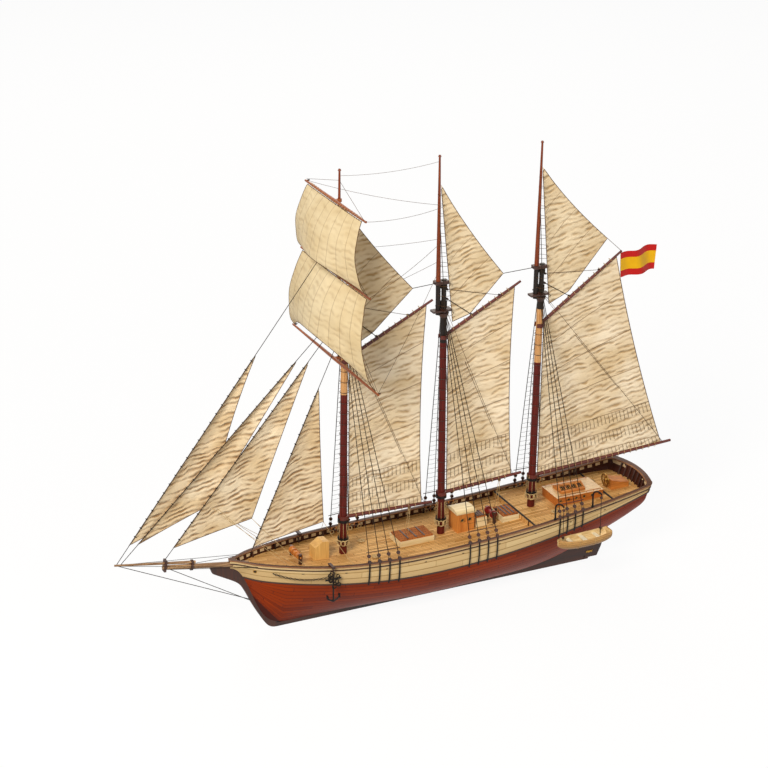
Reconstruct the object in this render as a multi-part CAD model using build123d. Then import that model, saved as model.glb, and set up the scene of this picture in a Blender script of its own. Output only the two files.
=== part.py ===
from build123d import *
import math
import os

# A three-masted topsail schooner: a display model, plank on bulkhead, at about 1:58.
# Millimetres. x runs aft, y to starboard and z up. The origin lies on the keel's flat underside,
# below the main mast. Half-breadths, sheer and wale are formulas, so every strake, rail, deck,
# stanchion and chainplate is cut from the same hull surfaces.

# ---------------------------------------------------------------- hull form
stem_x = -278.0              # forward end of the planking, at the rail
stern_x = 279.0              # after end of the transom, at the rail
widest_x = -20.0             # station of the greatest breadth
half_beam = 62.0
stern_half_beam = 48.0
transom_rake = 20.0          # degrees
transom_bulge = 6.0          # how far the transom curves out aft
quarter_radius = 11.0        # round of the transom's corners
forefoot_x = -220.0          # where the stem rises out of the keel
stem_top_z = 90.0            # where the planking's lower edge meets the stem head
run_x = 100.0                # where the bottom starts to rise towards the counter
counter_rise = 71.0
sheer_low_x = -70.0          # lowest point of the rail line
sheer_low_z = 85.0
sheer_bow_rise = 14.3
sheer_stern_rise = 26.3
wale_low_x = -40.0           # lowest point of the line below the pale bulwark strakes
wale_low_z = 59.0
wale_bow_rise = 18.7
wale_stern_rise = 46.7
section_count = 17

# ---------------------------------------------------------------- hull pieces
planking = 2.0
keel_width = 5.0
keel_height = 5.0
stem_depth = 8.0             # depth of the stem timber at its head
knee_reach = 26.0            # how far the cutwater's knee stands out under the bowsprit
knee_depth = 9.0
sternpost_width = 6.0
sternpost_x = 208.5          # after face of the sternpost, at the keel's underside
sternpost_rake = 24.0        # degrees
spine_width = 4.0
bulkhead_thickness = 3.0
bulkhead_count = 11
wale_height = 1.8
strake_height = 1.2
strake_drop = 2.6            # rubbing strake's top below the rail
band_proud = 1.0             # wales and rail edge stand out this far
transom_depth = 29.0         # the transom's planking meets the side planking this far ahead of the stern
strap_proud = 0.6            # chainplates stand out beyond the wales
rail_inboard = 1.8           # rail overhangs the bulwark this far inboard
rail_thickness = 1.6
stanchion_pitch = 35.0
stanchion_width = 2.0
deck_thickness = 1.5
deck_drop = 7.5              # main deck below the rail
break_x = 105.0              # forward edge of the quarterdeck
quarter_deck_z = 89.5
quarter_deck_slope = 0.033
break_beam = 3.0

# ---------------------------------------------------------------- masts
main_mast_x = 0.0            # at the deck's level
fore_boom_length = 118.0
main_boom_length = 110.0
mizzen_boom_length = 199.0
fore_boom_clearance = 13.3   # from the fore boom's end to the main mast's line
main_boom_clearance = 15.0
fore_mast_x = main_mast_x - fore_boom_length - fore_boom_clearance
mizzen_mast_x = main_mast_x + main_boom_length + main_boom_clearance
fore_rake = 0.8              # degrees aft
main_rake = 0.2
mizzen_rake = 1.3
mast_foot_z = 30.0
mast_radius = 4.7            # at the deck
hounds_radius = 4.1
hounds_z = 370.0
masthead_radius = 3.0
masthead_z = 409.0
topmast_heel_z = 366.0
topmast_radius = 2.9
truck_radius = 1.2
truck_z = 560.0
truck_ball = 2.0
mast_gap = 1.6               # between masthead and topmast
crosstree_z = 372.0
crosstree_half = 12.0
crosstree_depth = 2.4
trestle_reach = 5.0
cap_z = 404.0
cap_height = 4.0
cap_wall = 1.8
fore_saddle_height = 45.0    # boom saddle's top above the deck
main_saddle_height = 51.3
mizzen_saddle_height = 38.7
saddle_gap = 0.4             # between a saddle and the boom that rides over it
saddle_wall = 2.2
saddle_depth = 3.0
spider_height = 19.0         # band of belaying pins above the deck
spider_wall = 2.0
spider_depth = 1.8
spider_pins = 8
pin_radius = 0.5
pin_length = 8.0

# ---------------------------------------------------------------- booms, gaffs and yards
running_gap = 0.08           # between a mast or pin and what turns about it
boom_radius = 2.3
boom_end_radius = 1.7
gaff_radius = 2.1
gaff_end_radius = 1.4
spar_plain = 0.4              # share of a boom or gaff before its taper starts
jaw_wall = 2.0
jaw_height = 4.6
fore_boom_slope = -1.6       # degrees
main_boom_slope = 3.3
mizzen_boom_slope = 3.1
fore_gaff_reach = 10.0        # longer than its boom by this
main_gaff_reach = 6.0
fore_gaff_length = fore_boom_length + fore_gaff_reach
main_gaff_length = main_boom_length + main_gaff_reach
mizzen_gaff_length = 136.0
fore_gaff_slope = 26.8
main_gaff_slope = 27.8
mizzen_gaff_slope = 35.0
fore_throat_z = 328.0
main_throat_z = 337.0
mizzen_throat_z = 331.0
upper_yard_z = 525.0
middle_yard_z = 439.0
truss_height = 5.0           # lower yard's axis above the fore gaff's throat
lower_yard_z = fore_throat_z + truss_height
upper_yard_half = 84.5
middle_yard_half = 97.5
lower_yard_half = 122.5
yard_radius = 2.1
yard_end_radius = 1.2
parrel_wall = 1.2
parrel_height = 3.4
truss_pin_radius = 1.1

# ---------------------------------------------------------------- bowsprit
bowsprit_z = 94.5            # axis at the stem head
bowsprit_slope = 9.2         # degrees
bowsprit_radius = 3.5
bowsprit_end_radius = 2.7
bowsprit_reach = 84.0        # ahead of the stem
bowsprit_inboard = 24.0
jibboom_radius = 1.9
jibboom_end_radius = 1.2
jibboom_reach = 144.0
jibboom_heel = 44.0
bowsprit_cap_width = 2.6

# ---------------------------------------------------------------- standing rigging
shroud_radius = 0.45
stay_radius = 0.4
lanyard_radius = 0.3
shroud_top_z = 366.0
shroud_count = 4
shroud_start = 9.0           # first chainplate aft of its mast
fore_shroud_pitch = 12.6
main_shroud_pitch = 12.4
mizzen_shroud_pitch = 11.0
deadeye_radius = 2.2
deadeye_thickness = 1.8
deadeye_rise = 7.4           # upper deadeye above the lower
chainplate_width = 1.6
chainplate_drop = 3.0        # below the wale line
topmast_shroud_z = 500.0
outer_stay_z = 491.0
jib_stay_z = 390.0
inner_stay_z = 380.0
fore_stay_z = 372.0
bobstay_z = 30.0             # bobstay's foot on the stem

# ---------------------------------------------------------------- sails
cloth = 0.8
luff_gap = 2.4
clew_inset = 14.0
peak_inset = 9.0
leech_hollow = 3.5
topsail_hollow = 4.0
topsail_gap = 1.0            # between the crosstrees and a topsail's fore edge
topsail_head_aft = 2.0       # topsail's head aft of the topmast's line
head_drop = 1.5              # fore topsail's head below the upper yard's parrel
main_head_drop = 34.0        # below the truck
mizzen_head_drop = 30.0
# Gaff topsails: clew inboard of the gaff's end and above it, foot's corner along the gaff and above it,
# tack above the gaff's jaws
fore_topsail = (24.9, 18.9, 41.5, 10.3, 17.0)
main_topsail = (22.6, 14.0, 40.6, 4.6, 17.0)
mizzen_topsail = (19.6, 19.8, 48.5, 9.2, 25.0)
# Headsails, as shares of the stay each is set on: tack, head, clew along it, clew off it
flying_jib = (0.060, 0.636, 0.249, 0.138)
outer_jib = (0.080, 0.818, 0.303, 0.108)
inner_jib = (0.062, 0.837, 0.281, 0.200)
fore_staysail = (0.069, 0.744, 0.224, 0.272)
flying_jib_hollow = 9.0
outer_jib_hollow = -2.0
inner_jib_hollow = 1.0
fore_staysail_hollow = 2.0
jib_tilt = 9.0               # degrees to starboard
square_belly = 29.0
leech_belly = 0.62           # share of the belly at a square sail's sides
upper_roach = 17.0           # how far a square sail's foot is cut up
lower_roach = 32.0
flag_hoist = 33.0
flag_fly = 50.0
flag_cloth = 0.6

# ---------------------------------------------------------------- deck fittings
hatch_half_width = 15.0
fore_hatch_x = -62.0
fore_hatch_length = 46.0
main_hatch_x = 78.0
main_hatch_length = 23.0
scuttle_x = 44.0
scuttle_length = 15.0
coaming_height = 7.0
scuttle_height = 12.0
coaming_wall = 2.0
cover_thickness = 1.6
companion_x = -173.0
companion_length = 20.0
companion_half_width = 8.0
companion_height = 22.0
house_x = 17.0
house_length = 23.0
house_half_width = 12.0
house_height = 25.0
house_roof = 2.0
roof_overhang = 1.6
roof_camber = 3.0
cabin_x = 152.0
cabin_length = 65.0
cabin_half_width = 19.5
cabin_height = 10.5
cabin_roof = 1.4
skylight_x = 162.0
skylight_length = 34.0
skylight_half_width = 11.5
skylight_eaves = 3.0         # above the cabin's roof
skylight_rise = 5.0
skylight_wall = 1.4
pane_thickness = 0.6
skylight_lights = 4
windlass_x = -193.0
windlass_half = 12.0
windlass_radius = 3.2
windlass_height = 9.0
winch_x = 69.0
winch_half = 8.0
winch_radius = 2.2
winch_height = 11.0
winch_wheel_radius = 5.0
bitt_width = 3.2
journal_radius = 1.0
wheelbox_x = 235.0
wheelbox_length = 25.0
wheelbox_half_width = 10.0
wheelbox_height = 9.5
wheel_radius = 8.5
wheel_rim = 1.3
wheel_spokes = 8
wheel_height = 11.0

# ---------------------------------------------------------------- rudder, boat and anchors
rudder_breadth = 11.5
rudder_top_z = 39.0
rudder_foot_z = 1.2
rudder_stock_radius = 1.5
pintle_radius = 0.75
gudgeon_wall = 0.9
gudgeon_height = 2.4
gudgeon_levels = (10.0, 30.0)
boat_aft = 30.0              # boat's middle aft of the mizzen mast
boat_x = mizzen_mast_x + boat_aft
boat_length = 72.0
boat_half_beam = 10.5
boat_depth = 13.0
boat_keel_z = 65.0
boat_out = 14.0              # between the hull's side and the boat's near gunwale
boat_wall = 1.0
davit_spread = 27.0          # each davit fore and aft of the boat's middle
davit_radius = 1.1
davit_height = 26.0
anchor_x = -168.0
anchor_shank = 34.0
anchor_z = 47.0
anchor_radius = 1.0
anchor_half_span = 9.0
cathead_reach = 7.0

x_fore = stem_x - 60.0       # generous limits for cutting tools
x_aft = stern_x + 40.0
y_far = half_beam + 60.0
z_deep = -60.0


# ================================================================ hull lines
def rising_line(x, low_x, low_z, bow_rise, stern_rise):
    """Height at x of a line that is lowest at low_x and rises to each end"""
    if x < low_x:
        return low_z + bow_rise * ((low_x - x) / (low_x - stem_x)) ** 2
    return low_z + stern_rise * ((x - low_x) / (stern_x - low_x)) ** 2


def sheer(x):
    """Underside of the cap rail"""
    return rising_line(x, sheer_low_x, sheer_low_z, sheer_bow_rise, sheer_stern_rise)


def rail_top(x):
    return sheer(x) + rail_thickness


def wale(x):
    """Joint between the dark bottom planking and the pale bulwark"""
    return rising_line(x, wale_low_x, wale_low_z, wale_bow_rise, wale_stern_rise)


def main_deck_z(x):
    return sheer(x) - deck_drop


def quarter_deck_top(x):
    return quarter_deck_z + quarter_deck_slope * (x - break_x)


def deck_z(x):
    """Top of whichever deck lies at x"""
    return main_deck_z(x) if x < break_x else quarter_deck_top(x)


def eased(x, stops):
    """Value at x, eased between (position, value) stops"""
    if x <= stops[0][0]:
        return stops[0][1]
    for (x_a, v_a), (x_b, v_b) in zip(stops, stops[1:]):
        if x <= x_b:
            t = (x - x_a) / (x_b - x_a)
            return v_a + (v_b - v_a) * t * t * (3 - 2 * t)
    return stops[-1][1]


def half_breadth(x):
    """Half-breadth at the rail"""
    if x < widest_x:
        t = max(0.0, (x - stem_x) / (widest_x - stem_x))
        return max(keel_width / 2 + 0.1, half_beam * (1 - (1 - t) ** 2.6) ** 0.87)
    t = (x - widest_x) / (stern_x - widest_x)
    return half_beam - (half_beam - stern_half_beam) * t ** 2.2


def bottom(x):
    """Lower edge of the planking: along the keel, up the stem and up under the counter"""
    if x < forefoot_x:
        t = min(1.0, (forefoot_x - x) / (forefoot_x - stem_x))
        return keel_height + (stem_top_z - keel_height) * t * t * (3 - 2 * t)
    if x > run_x:
        return keel_height + counter_rise * ((x - run_x) / (stern_x - run_x)) ** 2
    return keel_height


def section(x, grow):
    """Closed hull section at x, its planking surface moved outward by grow"""
    slope = (bottom(x + 1) - bottom(x - 1)) / 2
    low = bottom(x) - grow * math.hypot(1, slope)
    high = sheer(x)
    run_station = (run_x + stern_x) / 2
    fullness = eased(x, [(stem_x, 1.15), (widest_x, 2.6), (stern_x, 2.1)])
    hollow = eased(x, [(stem_x, 0.98), (widest_x, 0.72), (run_station, 1.02), (stern_x, 0.62)])
    base = keel_width / 2
    offsets = []
    for share in (0.0, 0.04, 0.12, 0.25, 0.42, 0.62, 0.82, 1.0):
        flare = (1 - (1 - share) ** fullness) ** hollow
        y = max(0.6, base + (half_breadth(x) - base) * flare + grow)
        offsets.append((y, low + share * (high - low)))
    offsets.append((offsets[-1][0], high + rail_thickness + 0.6 + 0.03 * (high - low)))
    starboard = [Vector(x, y, z) for y, z in offsets]
    port = [Vector(x, -y, z) for y, z in reversed(offsets)]
    knots = [0.0, 0.10, 0.20, 0.32, 0.47, 0.64, 0.80, 0.94, 1.0]
    turned = [1 - knot for knot in reversed(knots)]
    rise = Edge.make_spline(starboard, parameters=knots)
    fall = Edge.make_spline(port, parameters=turned)
    head = Line(starboard[-1], port[0])
    keel_seat = Line(port[-1], starboard[0])
    return Wire([rise, head, fall, keel_seat])


def stern_trim(grow):
    """Block whose raked, rounded after end cuts the transom"""
    rake = math.tan(math.radians(transom_rake))
    aft = stern_x - transom_bulge + grow - rake * sheer(stern_x)
    corner_x = aft - quarter_radius
    corner_y = half_breadth(stern_x - quarter_radius) + 1 + grow
    near_x = corner_x - 25
    side = [
        (x_fore, y_far),
        (widest_x, y_far),
        (near_x, half_breadth(near_x + rake * sheer(stern_x)) + 1 + grow),
        (corner_x, corner_y),
    ]
    diagonal = quarter_radius * math.sqrt(0.5)
    flat_y = corner_y - quarter_radius
    edges = [Line(a, b) for a, b in zip(side, side[1:])]
    edges.append(ThreePointArc(side[-1], (corner_x + diagonal, flat_y + diagonal), (aft, flat_y)))
    edges.append(ThreePointArc((aft, flat_y), (aft + transom_bulge, 0), (aft, -flat_y)))
    bend = (corner_x + diagonal, -flat_y - diagonal)
    edges.append(ThreePointArc((aft, -flat_y), bend, (corner_x, -corner_y)))
    port = [(x, -y) for x, y in reversed(side)]
    edges.extend(Line(a, b) for a, b in zip(port, port[1:]))
    edges.append(Line(port[-1], side[0]))
    height = 200
    return Solid.extrude(Face(Wire(edges)), Vector(rake * height, 0, height))


def hull_body(grow):
    """Solid bounded by the planking surface moved outward by grow"""
    first = stem_x + max(0.0, -grow) * 2.2
    last = stern_x + 6
    middle = (first + last) / 2
    reach = (last - first) / 2
    turns = [math.pi * i / (section_count - 1) for i in range(section_count)]
    wires = [section(middle - reach * math.cos(turn), grow) for turn in turns]
    return Solid.make_loft(wires) & stern_trim(grow)


# ================================================================ shaping tools
def block(x0, x1, y0, y1, z0, z1):
    """Box between two corners"""
    return Pos((x0 + x1) / 2, (y0 + y1) / 2, (z0 + z1) / 2) * Box(abs(x1 - x0), abs(y1 - y0), abs(z1 - z0))


def rod(start, end, start_radius, end_radius=None):
    """Round bar or tapered spar between two points"""
    end_radius = start_radius if end_radius is None else end_radius
    run = end - start
    plane = Plane(origin=start, z_dir=run)
    if abs(end_radius - start_radius) < 1e-6:
        return Solid.make_cylinder(start_radius, run.length, plane)
    return Solid.make_cone(start_radius, end_radius, run.length, plane)


def side_prism(edges, y0, y1):
    """Profile drawn in the x-z plane, given as edges, made solid from y0 to y1"""
    face = Face(Wire(edges)).moved(Pos(0, y0, 0))
    return Solid.extrude(face, Vector(0, y1 - y0, 0))


def side_polygon(points, y0, y1):
    """Straight-sided profile in the x-z plane, made solid from y0 to y1"""
    corners = [Vector(x, 0, z) for x, z in points]
    edges = [Line(a, b) for a, b in zip(corners, corners[1:] + corners[:1])]
    return side_prism(edges, y0, y1)


def below(height, x0=x_fore, x1=x_aft):
    """Everything under a line z = height(x)"""
    count = 12
    tops = [x0 + (x1 - x0) * i / count for i in range(count + 1)]
    line = [Vector(x, 0, height(x)) for x in tops]
    low_aft = Vector(x1, 0, z_deep)
    low_fore = Vector(x0, 0, z_deep)
    edges = [Spline(*line), Line(line[-1], low_aft), Line(low_aft, low_fore), Line(low_fore, line[0])]
    return side_prism(edges, -y_far, y_far)


def lowered(line, drop):
    """The same line, lower by drop"""
    return lambda x: line(x) - drop


def group(pieces):
    """Separate solids kept together as one node"""
    solids = []
    for piece in pieces:
        solids.extend(piece.solids())
    return Compound(children=solids)


def highest(piece):
    """The uppermost of a piece's solids"""
    return max(piece.solids(), key=lambda solid: solid.center().Z)


def cut(piece, *tools):
    """Piece less each of the tools"""
    for tool in tools:
        piece = piece - tool
    return piece


# ================================================================ masts
class Mast:
    """One mast: the raked line of its lower mast, with the topmast stepped ahead of it"""

    def __init__(self, x, rake, saddle_height):
        self.x = x
        self.saddle_height = saddle_height
        self.deck = deck_z(x)
        self.slope = math.tan(math.radians(rake))
        self.offset = masthead_radius + mast_gap + topmast_radius

    def at(self, z, forward=0.0, y=0.0):
        """Point at height z, forward of the lower mast's line"""
        return Vector(self.x + (z - self.deck) * self.slope - forward, y, z)

    def top_at(self, z, forward=0.0, y=0.0):
        """Point at height z, forward of the topmast's line"""
        return self.at(z, self.offset + forward, y)

    def radius(self, z):
        """Radius of the lower mast at height z"""
        share = (z - self.deck) / (hounds_z - self.deck)
        return mast_radius + (hounds_radius - mast_radius) * share

    def top_radius(self, z):
        """Radius of the topmast at height z"""
        share = max(0.0, (z - cap_z) / (truck_z - cap_z))
        return topmast_radius + (truck_radius - topmast_radius) * share

    def plane(self, z, forward=0.0):
        """Plane square to the mast at height z"""
        return Plane(origin=self.at(z, forward), x_dir=(1, 0, -self.slope), z_dir=(self.slope, 0, 1))

    def lower(self):
        foot = rod(self.at(mast_foot_z), self.at(hounds_z), self.radius(mast_foot_z), hounds_radius)
        return foot + rod(self.at(hounds_z), self.at(masthead_z), masthead_radius)

    def topmast(self):
        heel = rod(self.top_at(topmast_heel_z), self.top_at(cap_z), topmast_radius)
        upper = rod(self.top_at(cap_z), self.top_at(truck_z), topmast_radius, truck_radius)
        truck = rod(self.top_at(truck_z), self.top_at(truck_z + truck_ball), truck_ball, truck_radius)
        return heel + upper + truck

    def sleeve(self, z, height, extra):
        """Round block along the lower mast, larger than it by extra"""
        return rod(self.at(z), self.at(z + height), self.radius(z) + extra, self.radius(z + height) + extra)

    def band(self, z, height, wall):
        """Collar seated on the lower mast"""
        collar = Solid.make_cylinder(self.radius(z) + wall, height, self.plane(z))
        return collar - self.sleeve(z - 1, height + 2, 0)


fore = Mast(fore_mast_x, fore_rake, fore_saddle_height)
main = Mast(main_mast_x, main_rake, main_saddle_height)
mizzen = Mast(mizzen_mast_x, mizzen_rake, mizzen_saddle_height)
masts = (fore, main, mizzen)
shroud_pitches = (fore_shroud_pitch, main_shroud_pitch, mizzen_shroud_pitch)


def crosstrees(mast):
    """Trestletrees and a crosstree seated on the hounds, with both masts passing through"""
    level = crosstree_z
    near = mast.at(level).X
    ahead = mast.top_at(level).X
    fore_end = ahead - topmast_radius - trestle_reach
    aft_end = near + hounds_radius + trestle_reach
    side = max(topmast_radius, masthead_radius)
    frame = block(fore_end, aft_end, -side - 1.8, side + 1.8, level - crosstree_depth, level)
    arm_x = (near - masthead_radius + ahead + topmast_radius) / 2
    arms = block(arm_x - 1.5, arm_x + 1.5, -crosstree_half, crosstree_half, level, level + 1.4)
    bolster_z = hounds_z - crosstree_depth - 6
    bolster = Solid.make_cone(mast.radius(bolster_z) + 0.2, hounds_radius + 2.4, 6, mast.plane(bolster_z))
    return cut(frame + arms + bolster, mast.lower(), mast.topmast())


def mast_cap(mast):
    """Block that joins the masthead to the topmast"""
    near = mast.at(cap_z).X
    ahead = mast.top_at(cap_z).X
    half = topmast_radius + cap_wall
    shape = block(ahead - half, near + masthead_radius + cap_wall, -half, half, cap_z, cap_z + cap_height)
    return cut(shape, mast.lower(), mast.topmast())


def spider_band(mast):
    """Iron band round the mast with belaying pins standing in it"""
    z = mast.deck + spider_height
    pieces = mast.band(z, spider_depth, spider_wall)
    ring = mast.radius(z) + spider_wall / 2
    plane = mast.plane(z - pin_length / 2)
    for i in range(spider_pins):
        turn = 2 * math.pi * i / spider_pins
        foot = plane.from_local_coords(Vector(ring * math.cos(turn), ring * math.sin(turn), 0))
        pieces += rod(foot, foot + plane.z_dir * pin_length, pin_radius)
    return cut(pieces, mast.lower())


def boom_saddle(mast):
    """Collar on the mast that the boom's jaws rest over"""
    return mast.band(mast.deck + mast.saddle_height - saddle_depth, saddle_depth, saddle_wall)


def yard_truss(mast):
    """Bracket on the lower mast, with the upright pin that the lower yard swings on"""
    z = lower_yard_z
    pin_x = mast.top_at(z).X
    arm = block(pin_x, mast.at(z).X, -1.6, 1.6, z + 2.0, z + 4.4)
    pin = rod(mast.top_at(z - 1.9), mast.top_at(z + 4.4), truss_pin_radius)
    return cut(arm + pin, mast.lower())


# ================================================================ swinging sails
def swinging_spar(mast, z, slope, length, thick, thin):
    """Boom or gaff with open jaws that run round the mast, thick at the jaws and thin at its end"""
    angle = math.radians(slope)
    run = Vector(math.cos(angle), 0, math.sin(angle))
    inner = mast.radius(z)
    taper = mast.at(z) + run * (length * spar_plain)
    spar = rod(mast.at(z) + run * (inner + jaw_wall / 2), taper, thick)
    spar += rod(taper, mast.at(z) + run * length, thick, thin)
    jaws = Solid.make_cylinder(inner + jaw_wall, jaw_height, mast.plane(z - jaw_height / 2))
    axis_x = mast.at(z).X
    mouth = block(axis_x - 3 * inner, axis_x - inner * 0.45, -inner * 0.8, inner * 0.8, z - 9, z + 9)
    return cut(spar + jaws, mouth, mast.sleeve(z - 16, 32, running_gap))


class SailRig:
    """Boom, gaff and sail that swing together about one mast"""

    def __init__(self, mast, boom_slope, boom_length, throat_z, gaff_slope, gaff_length):
        self.mast = mast
        self.boom_z = mast.deck + mast.saddle_height + jaw_height / 2 + saddle_gap
        self.throat_z = throat_z
        self.boom_run = self.direction(boom_slope)
        self.gaff_run = self.direction(gaff_slope)
        self.boom_length = boom_length
        self.gaff_length = gaff_length
        self.boom = swinging_spar(mast, self.boom_z, boom_slope, boom_length, boom_radius, boom_end_radius)
        self.gaff = swinging_spar(mast, throat_z, gaff_slope, gaff_length, gaff_radius, gaff_end_radius)
        self.peak = mast.at(throat_z) + self.gaff_run * (gaff_length - gaff_end_radius)

    @staticmethod
    def direction(slope):
        angle = math.radians(slope)
        return Vector(math.cos(angle), 0, math.sin(angle))

    def sail(self):
        """Four-sided sail laced to the gaff and the boom, its after edge a little hollow"""
        off = mast_radius + luff_gap
        tack = self.mast.at(self.boom_z) + self.boom_run * off
        clew = self.mast.at(self.boom_z) + self.boom_run * (self.boom_length - clew_inset)
        throat = self.mast.at(self.throat_z) + self.gaff_run * off
        peak = self.mast.at(self.throat_z) + self.gaff_run * (self.gaff_length - peak_inset)
        middle = (clew + peak) * 0.5 - Vector(leech_hollow, 0, 0)
        edges = [Line(tack, clew), ThreePointArc(clew, middle, peak), Line(peak, throat), Line(throat, tack)]
        return cut(side_prism(edges, -cloth / 2, cloth / 2), self.boom, self.gaff)


# ================================================================ fixed sails
def stay_sail(low, high, shares, hollow):
    """Three-cornered sail on a stay from low to high"""
    stay = high - low
    luff = stay.normalized()
    across = Vector(luff.Z, math.tan(math.radians(jib_tilt)), -luff.X)
    tack_share, head_share, clew_share, reach_share = shares
    tack = low + stay * tack_share
    head = low + stay * head_share
    clew = low + stay * clew_share + across * (stay.length * reach_share)
    inward = (tack + head - clew * 2).normalized()
    middle = (head + clew) * 0.5 + inward * hollow
    face = Face(Wire([Line(tack, head), ThreePointArc(head, middle, clew), Line(clew, tack)]))
    normal = luff.cross(across).normalized()
    return Solid.extrude(face.moved(Pos(*(normal * (-cloth / 2)))), normal * cloth)


def luff_point(mast, z, head_z):
    """Point on a topsail's fore edge: a straight line from its head that clears the crosstrees"""
    clear_aft = mast.offset + hounds_radius + trestle_reach + topsail_gap
    aft = topsail_head_aft + (clear_aft - topsail_head_aft) * (head_z - z) / (head_z - crosstree_z)
    return Vector(mast.top_at(z).X + aft, 0, z)


def gaff_topsail(rig, head_z, corners):
    """Sail between a topmast and the gaff below it"""
    inboard, above, foot_along, foot_above, tack_above = corners
    head = luff_point(rig.mast, head_z, head_z)
    tack = luff_point(rig.mast, rig.throat_z + tack_above, head_z)
    clew = rig.peak + Vector(-inboard, 0, above)
    foot = rig.mast.at(rig.throat_z) + rig.gaff_run * foot_along + Vector(0, 0, foot_above)
    middle = (head + clew) * 0.5 - Vector(topsail_hollow * 0.7, 0, topsail_hollow * 0.7)
    edges = [ThreePointArc(head, middle, clew), Line(clew, foot), Line(foot, tack), Line(tack, head)]
    return cut(side_prism(edges, -cloth / 2, cloth / 2), rig.mast.topmast()), clew


def square_sail(head_z, foot_z, head_half, foot_half, roach):
    """Bellied sail between two yards, its foot cut up in a curve"""
    rows = 6
    columns = 8
    grid = []
    for i in range(rows + 1):
        down = i / rows
        half = head_half + (foot_half - head_half) * down
        line = []
        for j in range(columns + 1):
            across = 2 * j / columns - 1
            middle = 1 - across * across
            low = foot_z + roach * middle
            z = head_z + (low - head_z) * down
            share = leech_belly + (1 - leech_belly) * middle
            wind = math.sin(math.pi * min(1.0, down) * 0.5) ** 0.8 * share
            drawn = middle * 0.92 + (1 - middle) * math.cos(math.pi * down / 2) ** 0.5
            drawn_here = drawn if down > 0.5 else 1 - (1 - drawn) * 2 * down * down
            depth = square_belly * wind * drawn_here
            line.append(Vector(yard_x(z) - depth, half * across, z))
        grid.append(line)
    face = Face.make_surface_from_array_of_points(grid, tol=0.05)
    return Solid.thicken(face, cloth)


# ================================================================ yards
def yard_x(z):
    """Forward of the fore topmast by its radius, the parrel and half the yard"""
    return fore.top_at(z).X - topmast_radius - running_gap - parrel_wall - yard_radius * 0.6


def yard(z, half, pivot_radius):
    """Tapered yard fused to the parrel or eye that turns about the mast's line"""
    centre = Vector(yard_x(z), 0, z)
    spar = rod(centre, centre + Vector(0, half, 0), yard_radius, yard_end_radius)
    spar += rod(centre, centre - Vector(0, half, 0), yard_radius, yard_end_radius)
    plane = Plane(origin=fore.top_at(z - parrel_height / 2), z_dir=(fore.slope, 0, 1))
    ring = Solid.make_cylinder(pivot_radius + running_gap + parrel_wall, parrel_height, plane)
    web = block(centre.X, fore.top_at(z).X, -1.0, 1.0, z - parrel_height / 2, z + parrel_height / 2)
    bore = rod(fore.top_at(z - 9), fore.top_at(z + 9), pivot_radius + running_gap)
    return cut(spar + ring + web, bore)


# ================================================================ hull
def stem_edge(share):
    """Point on the stem's forward edge, square off the planking's lower edge"""
    x = forefoot_x + (stem_x - forefoot_x) * share
    climb = (bottom(x - 0.5) - bottom(x + 0.5))
    depth = (keel_height + (stem_depth - keel_height) * share) / math.hypot(1, climb)
    return Vector(x - depth * climb, 0, bottom(x) - depth)


def keel_timbers(outer, bowsprit):
    """Keel, stem with its knee, sternpost and deadwood, as four pieces butted together"""
    half = keel_width / 2
    rake = math.tan(math.radians(sternpost_rake))
    post_top = bottom(sternpost_x) + 30
    post_fore = sternpost_x - sternpost_width
    corners = [(forefoot_x, 0), (post_fore, 0), (post_fore, keel_height), (forefoot_x, keel_height)]
    keel = side_polygon(corners,
                        -half, half)
    post = side_polygon(
        [(post_fore, 0), (sternpost_x, 0), (sternpost_x + post_top * rake, post_top),
         (post_fore + post_top * rake, post_top)], -half, half)
    deadwood = side_polygon(
        [(run_x, keel_height), (post_fore + keel_height * rake, keel_height),
         (post_fore + post_top * rake, post_top), (run_x, post_top)], -half, half)
    under = Vector(forefoot_x, 0, 0)
    along = math.tan(math.radians(bowsprit_slope))
    lip = Vector(stem_x - knee_reach + 4, 0, bowsprit_z - knee_depth + 2)
    tip = Vector(stem_x - knee_reach, 0, bowsprit_z + knee_reach * along)
    inner_top = Vector(stem_x + 12, 0, bowsprit_z - 12 * along)
    inner_low = Vector(forefoot_x, 0, keel_height + 12)
    shins = [stem_edge(share) for share in (0.22, 0.43, 0.64)]
    outline = [
        Spline(under, *shins, lip, tangents=[Vector(-1, 0, 0), Vector(-1, 0, 0.6)]),
        Line(lip, tip),
        Line(tip, inner_top),
        Line(inner_top, inner_low),
        Line(inner_low, under),
    ]
    stem = cut(side_prism(outline, -half, half), outer, bowsprit)
    keel = cut(keel, outer)
    stem = cut(stem, keel)
    return keel, stem, cut(post, outer), cut(deadwood, outer, post)


def bulkhead_stations():
    first = forefoot_x
    last = sternpost_x + 36
    return [first + (last - first) * i / (bulkhead_count - 1) for i in range(bulkhead_count)]


def inner_structure(inner, under_decks):
    """Spine and bulkheads, halved into each other below the decks"""
    hold = inner & under_decks
    spine = hold & block(forefoot_x - 14, stern_x - 24, -spine_width / 2, spine_width / 2, 0, 200)
    bulkheads = []
    for x in bulkhead_stations():
        slab = block(x - bulkhead_thickness / 2, x + bulkhead_thickness / 2, -y_far, y_far, 0, 200)
        joint_z = (bottom(x) + deck_z(x)) / 2
        lower_half = block(x - 9, x + 9, -spine_width / 2, spine_width / 2, 0, joint_z)
        upper_half = block(x - bulkhead_thickness / 2, x + bulkhead_thickness / 2,
                           -spine_width / 2, spine_width / 2, joint_z, 200)
        bulkheads.append((hold & slab) - lower_half)
        spine = spine - upper_half
    return spine, bulkheads


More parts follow.
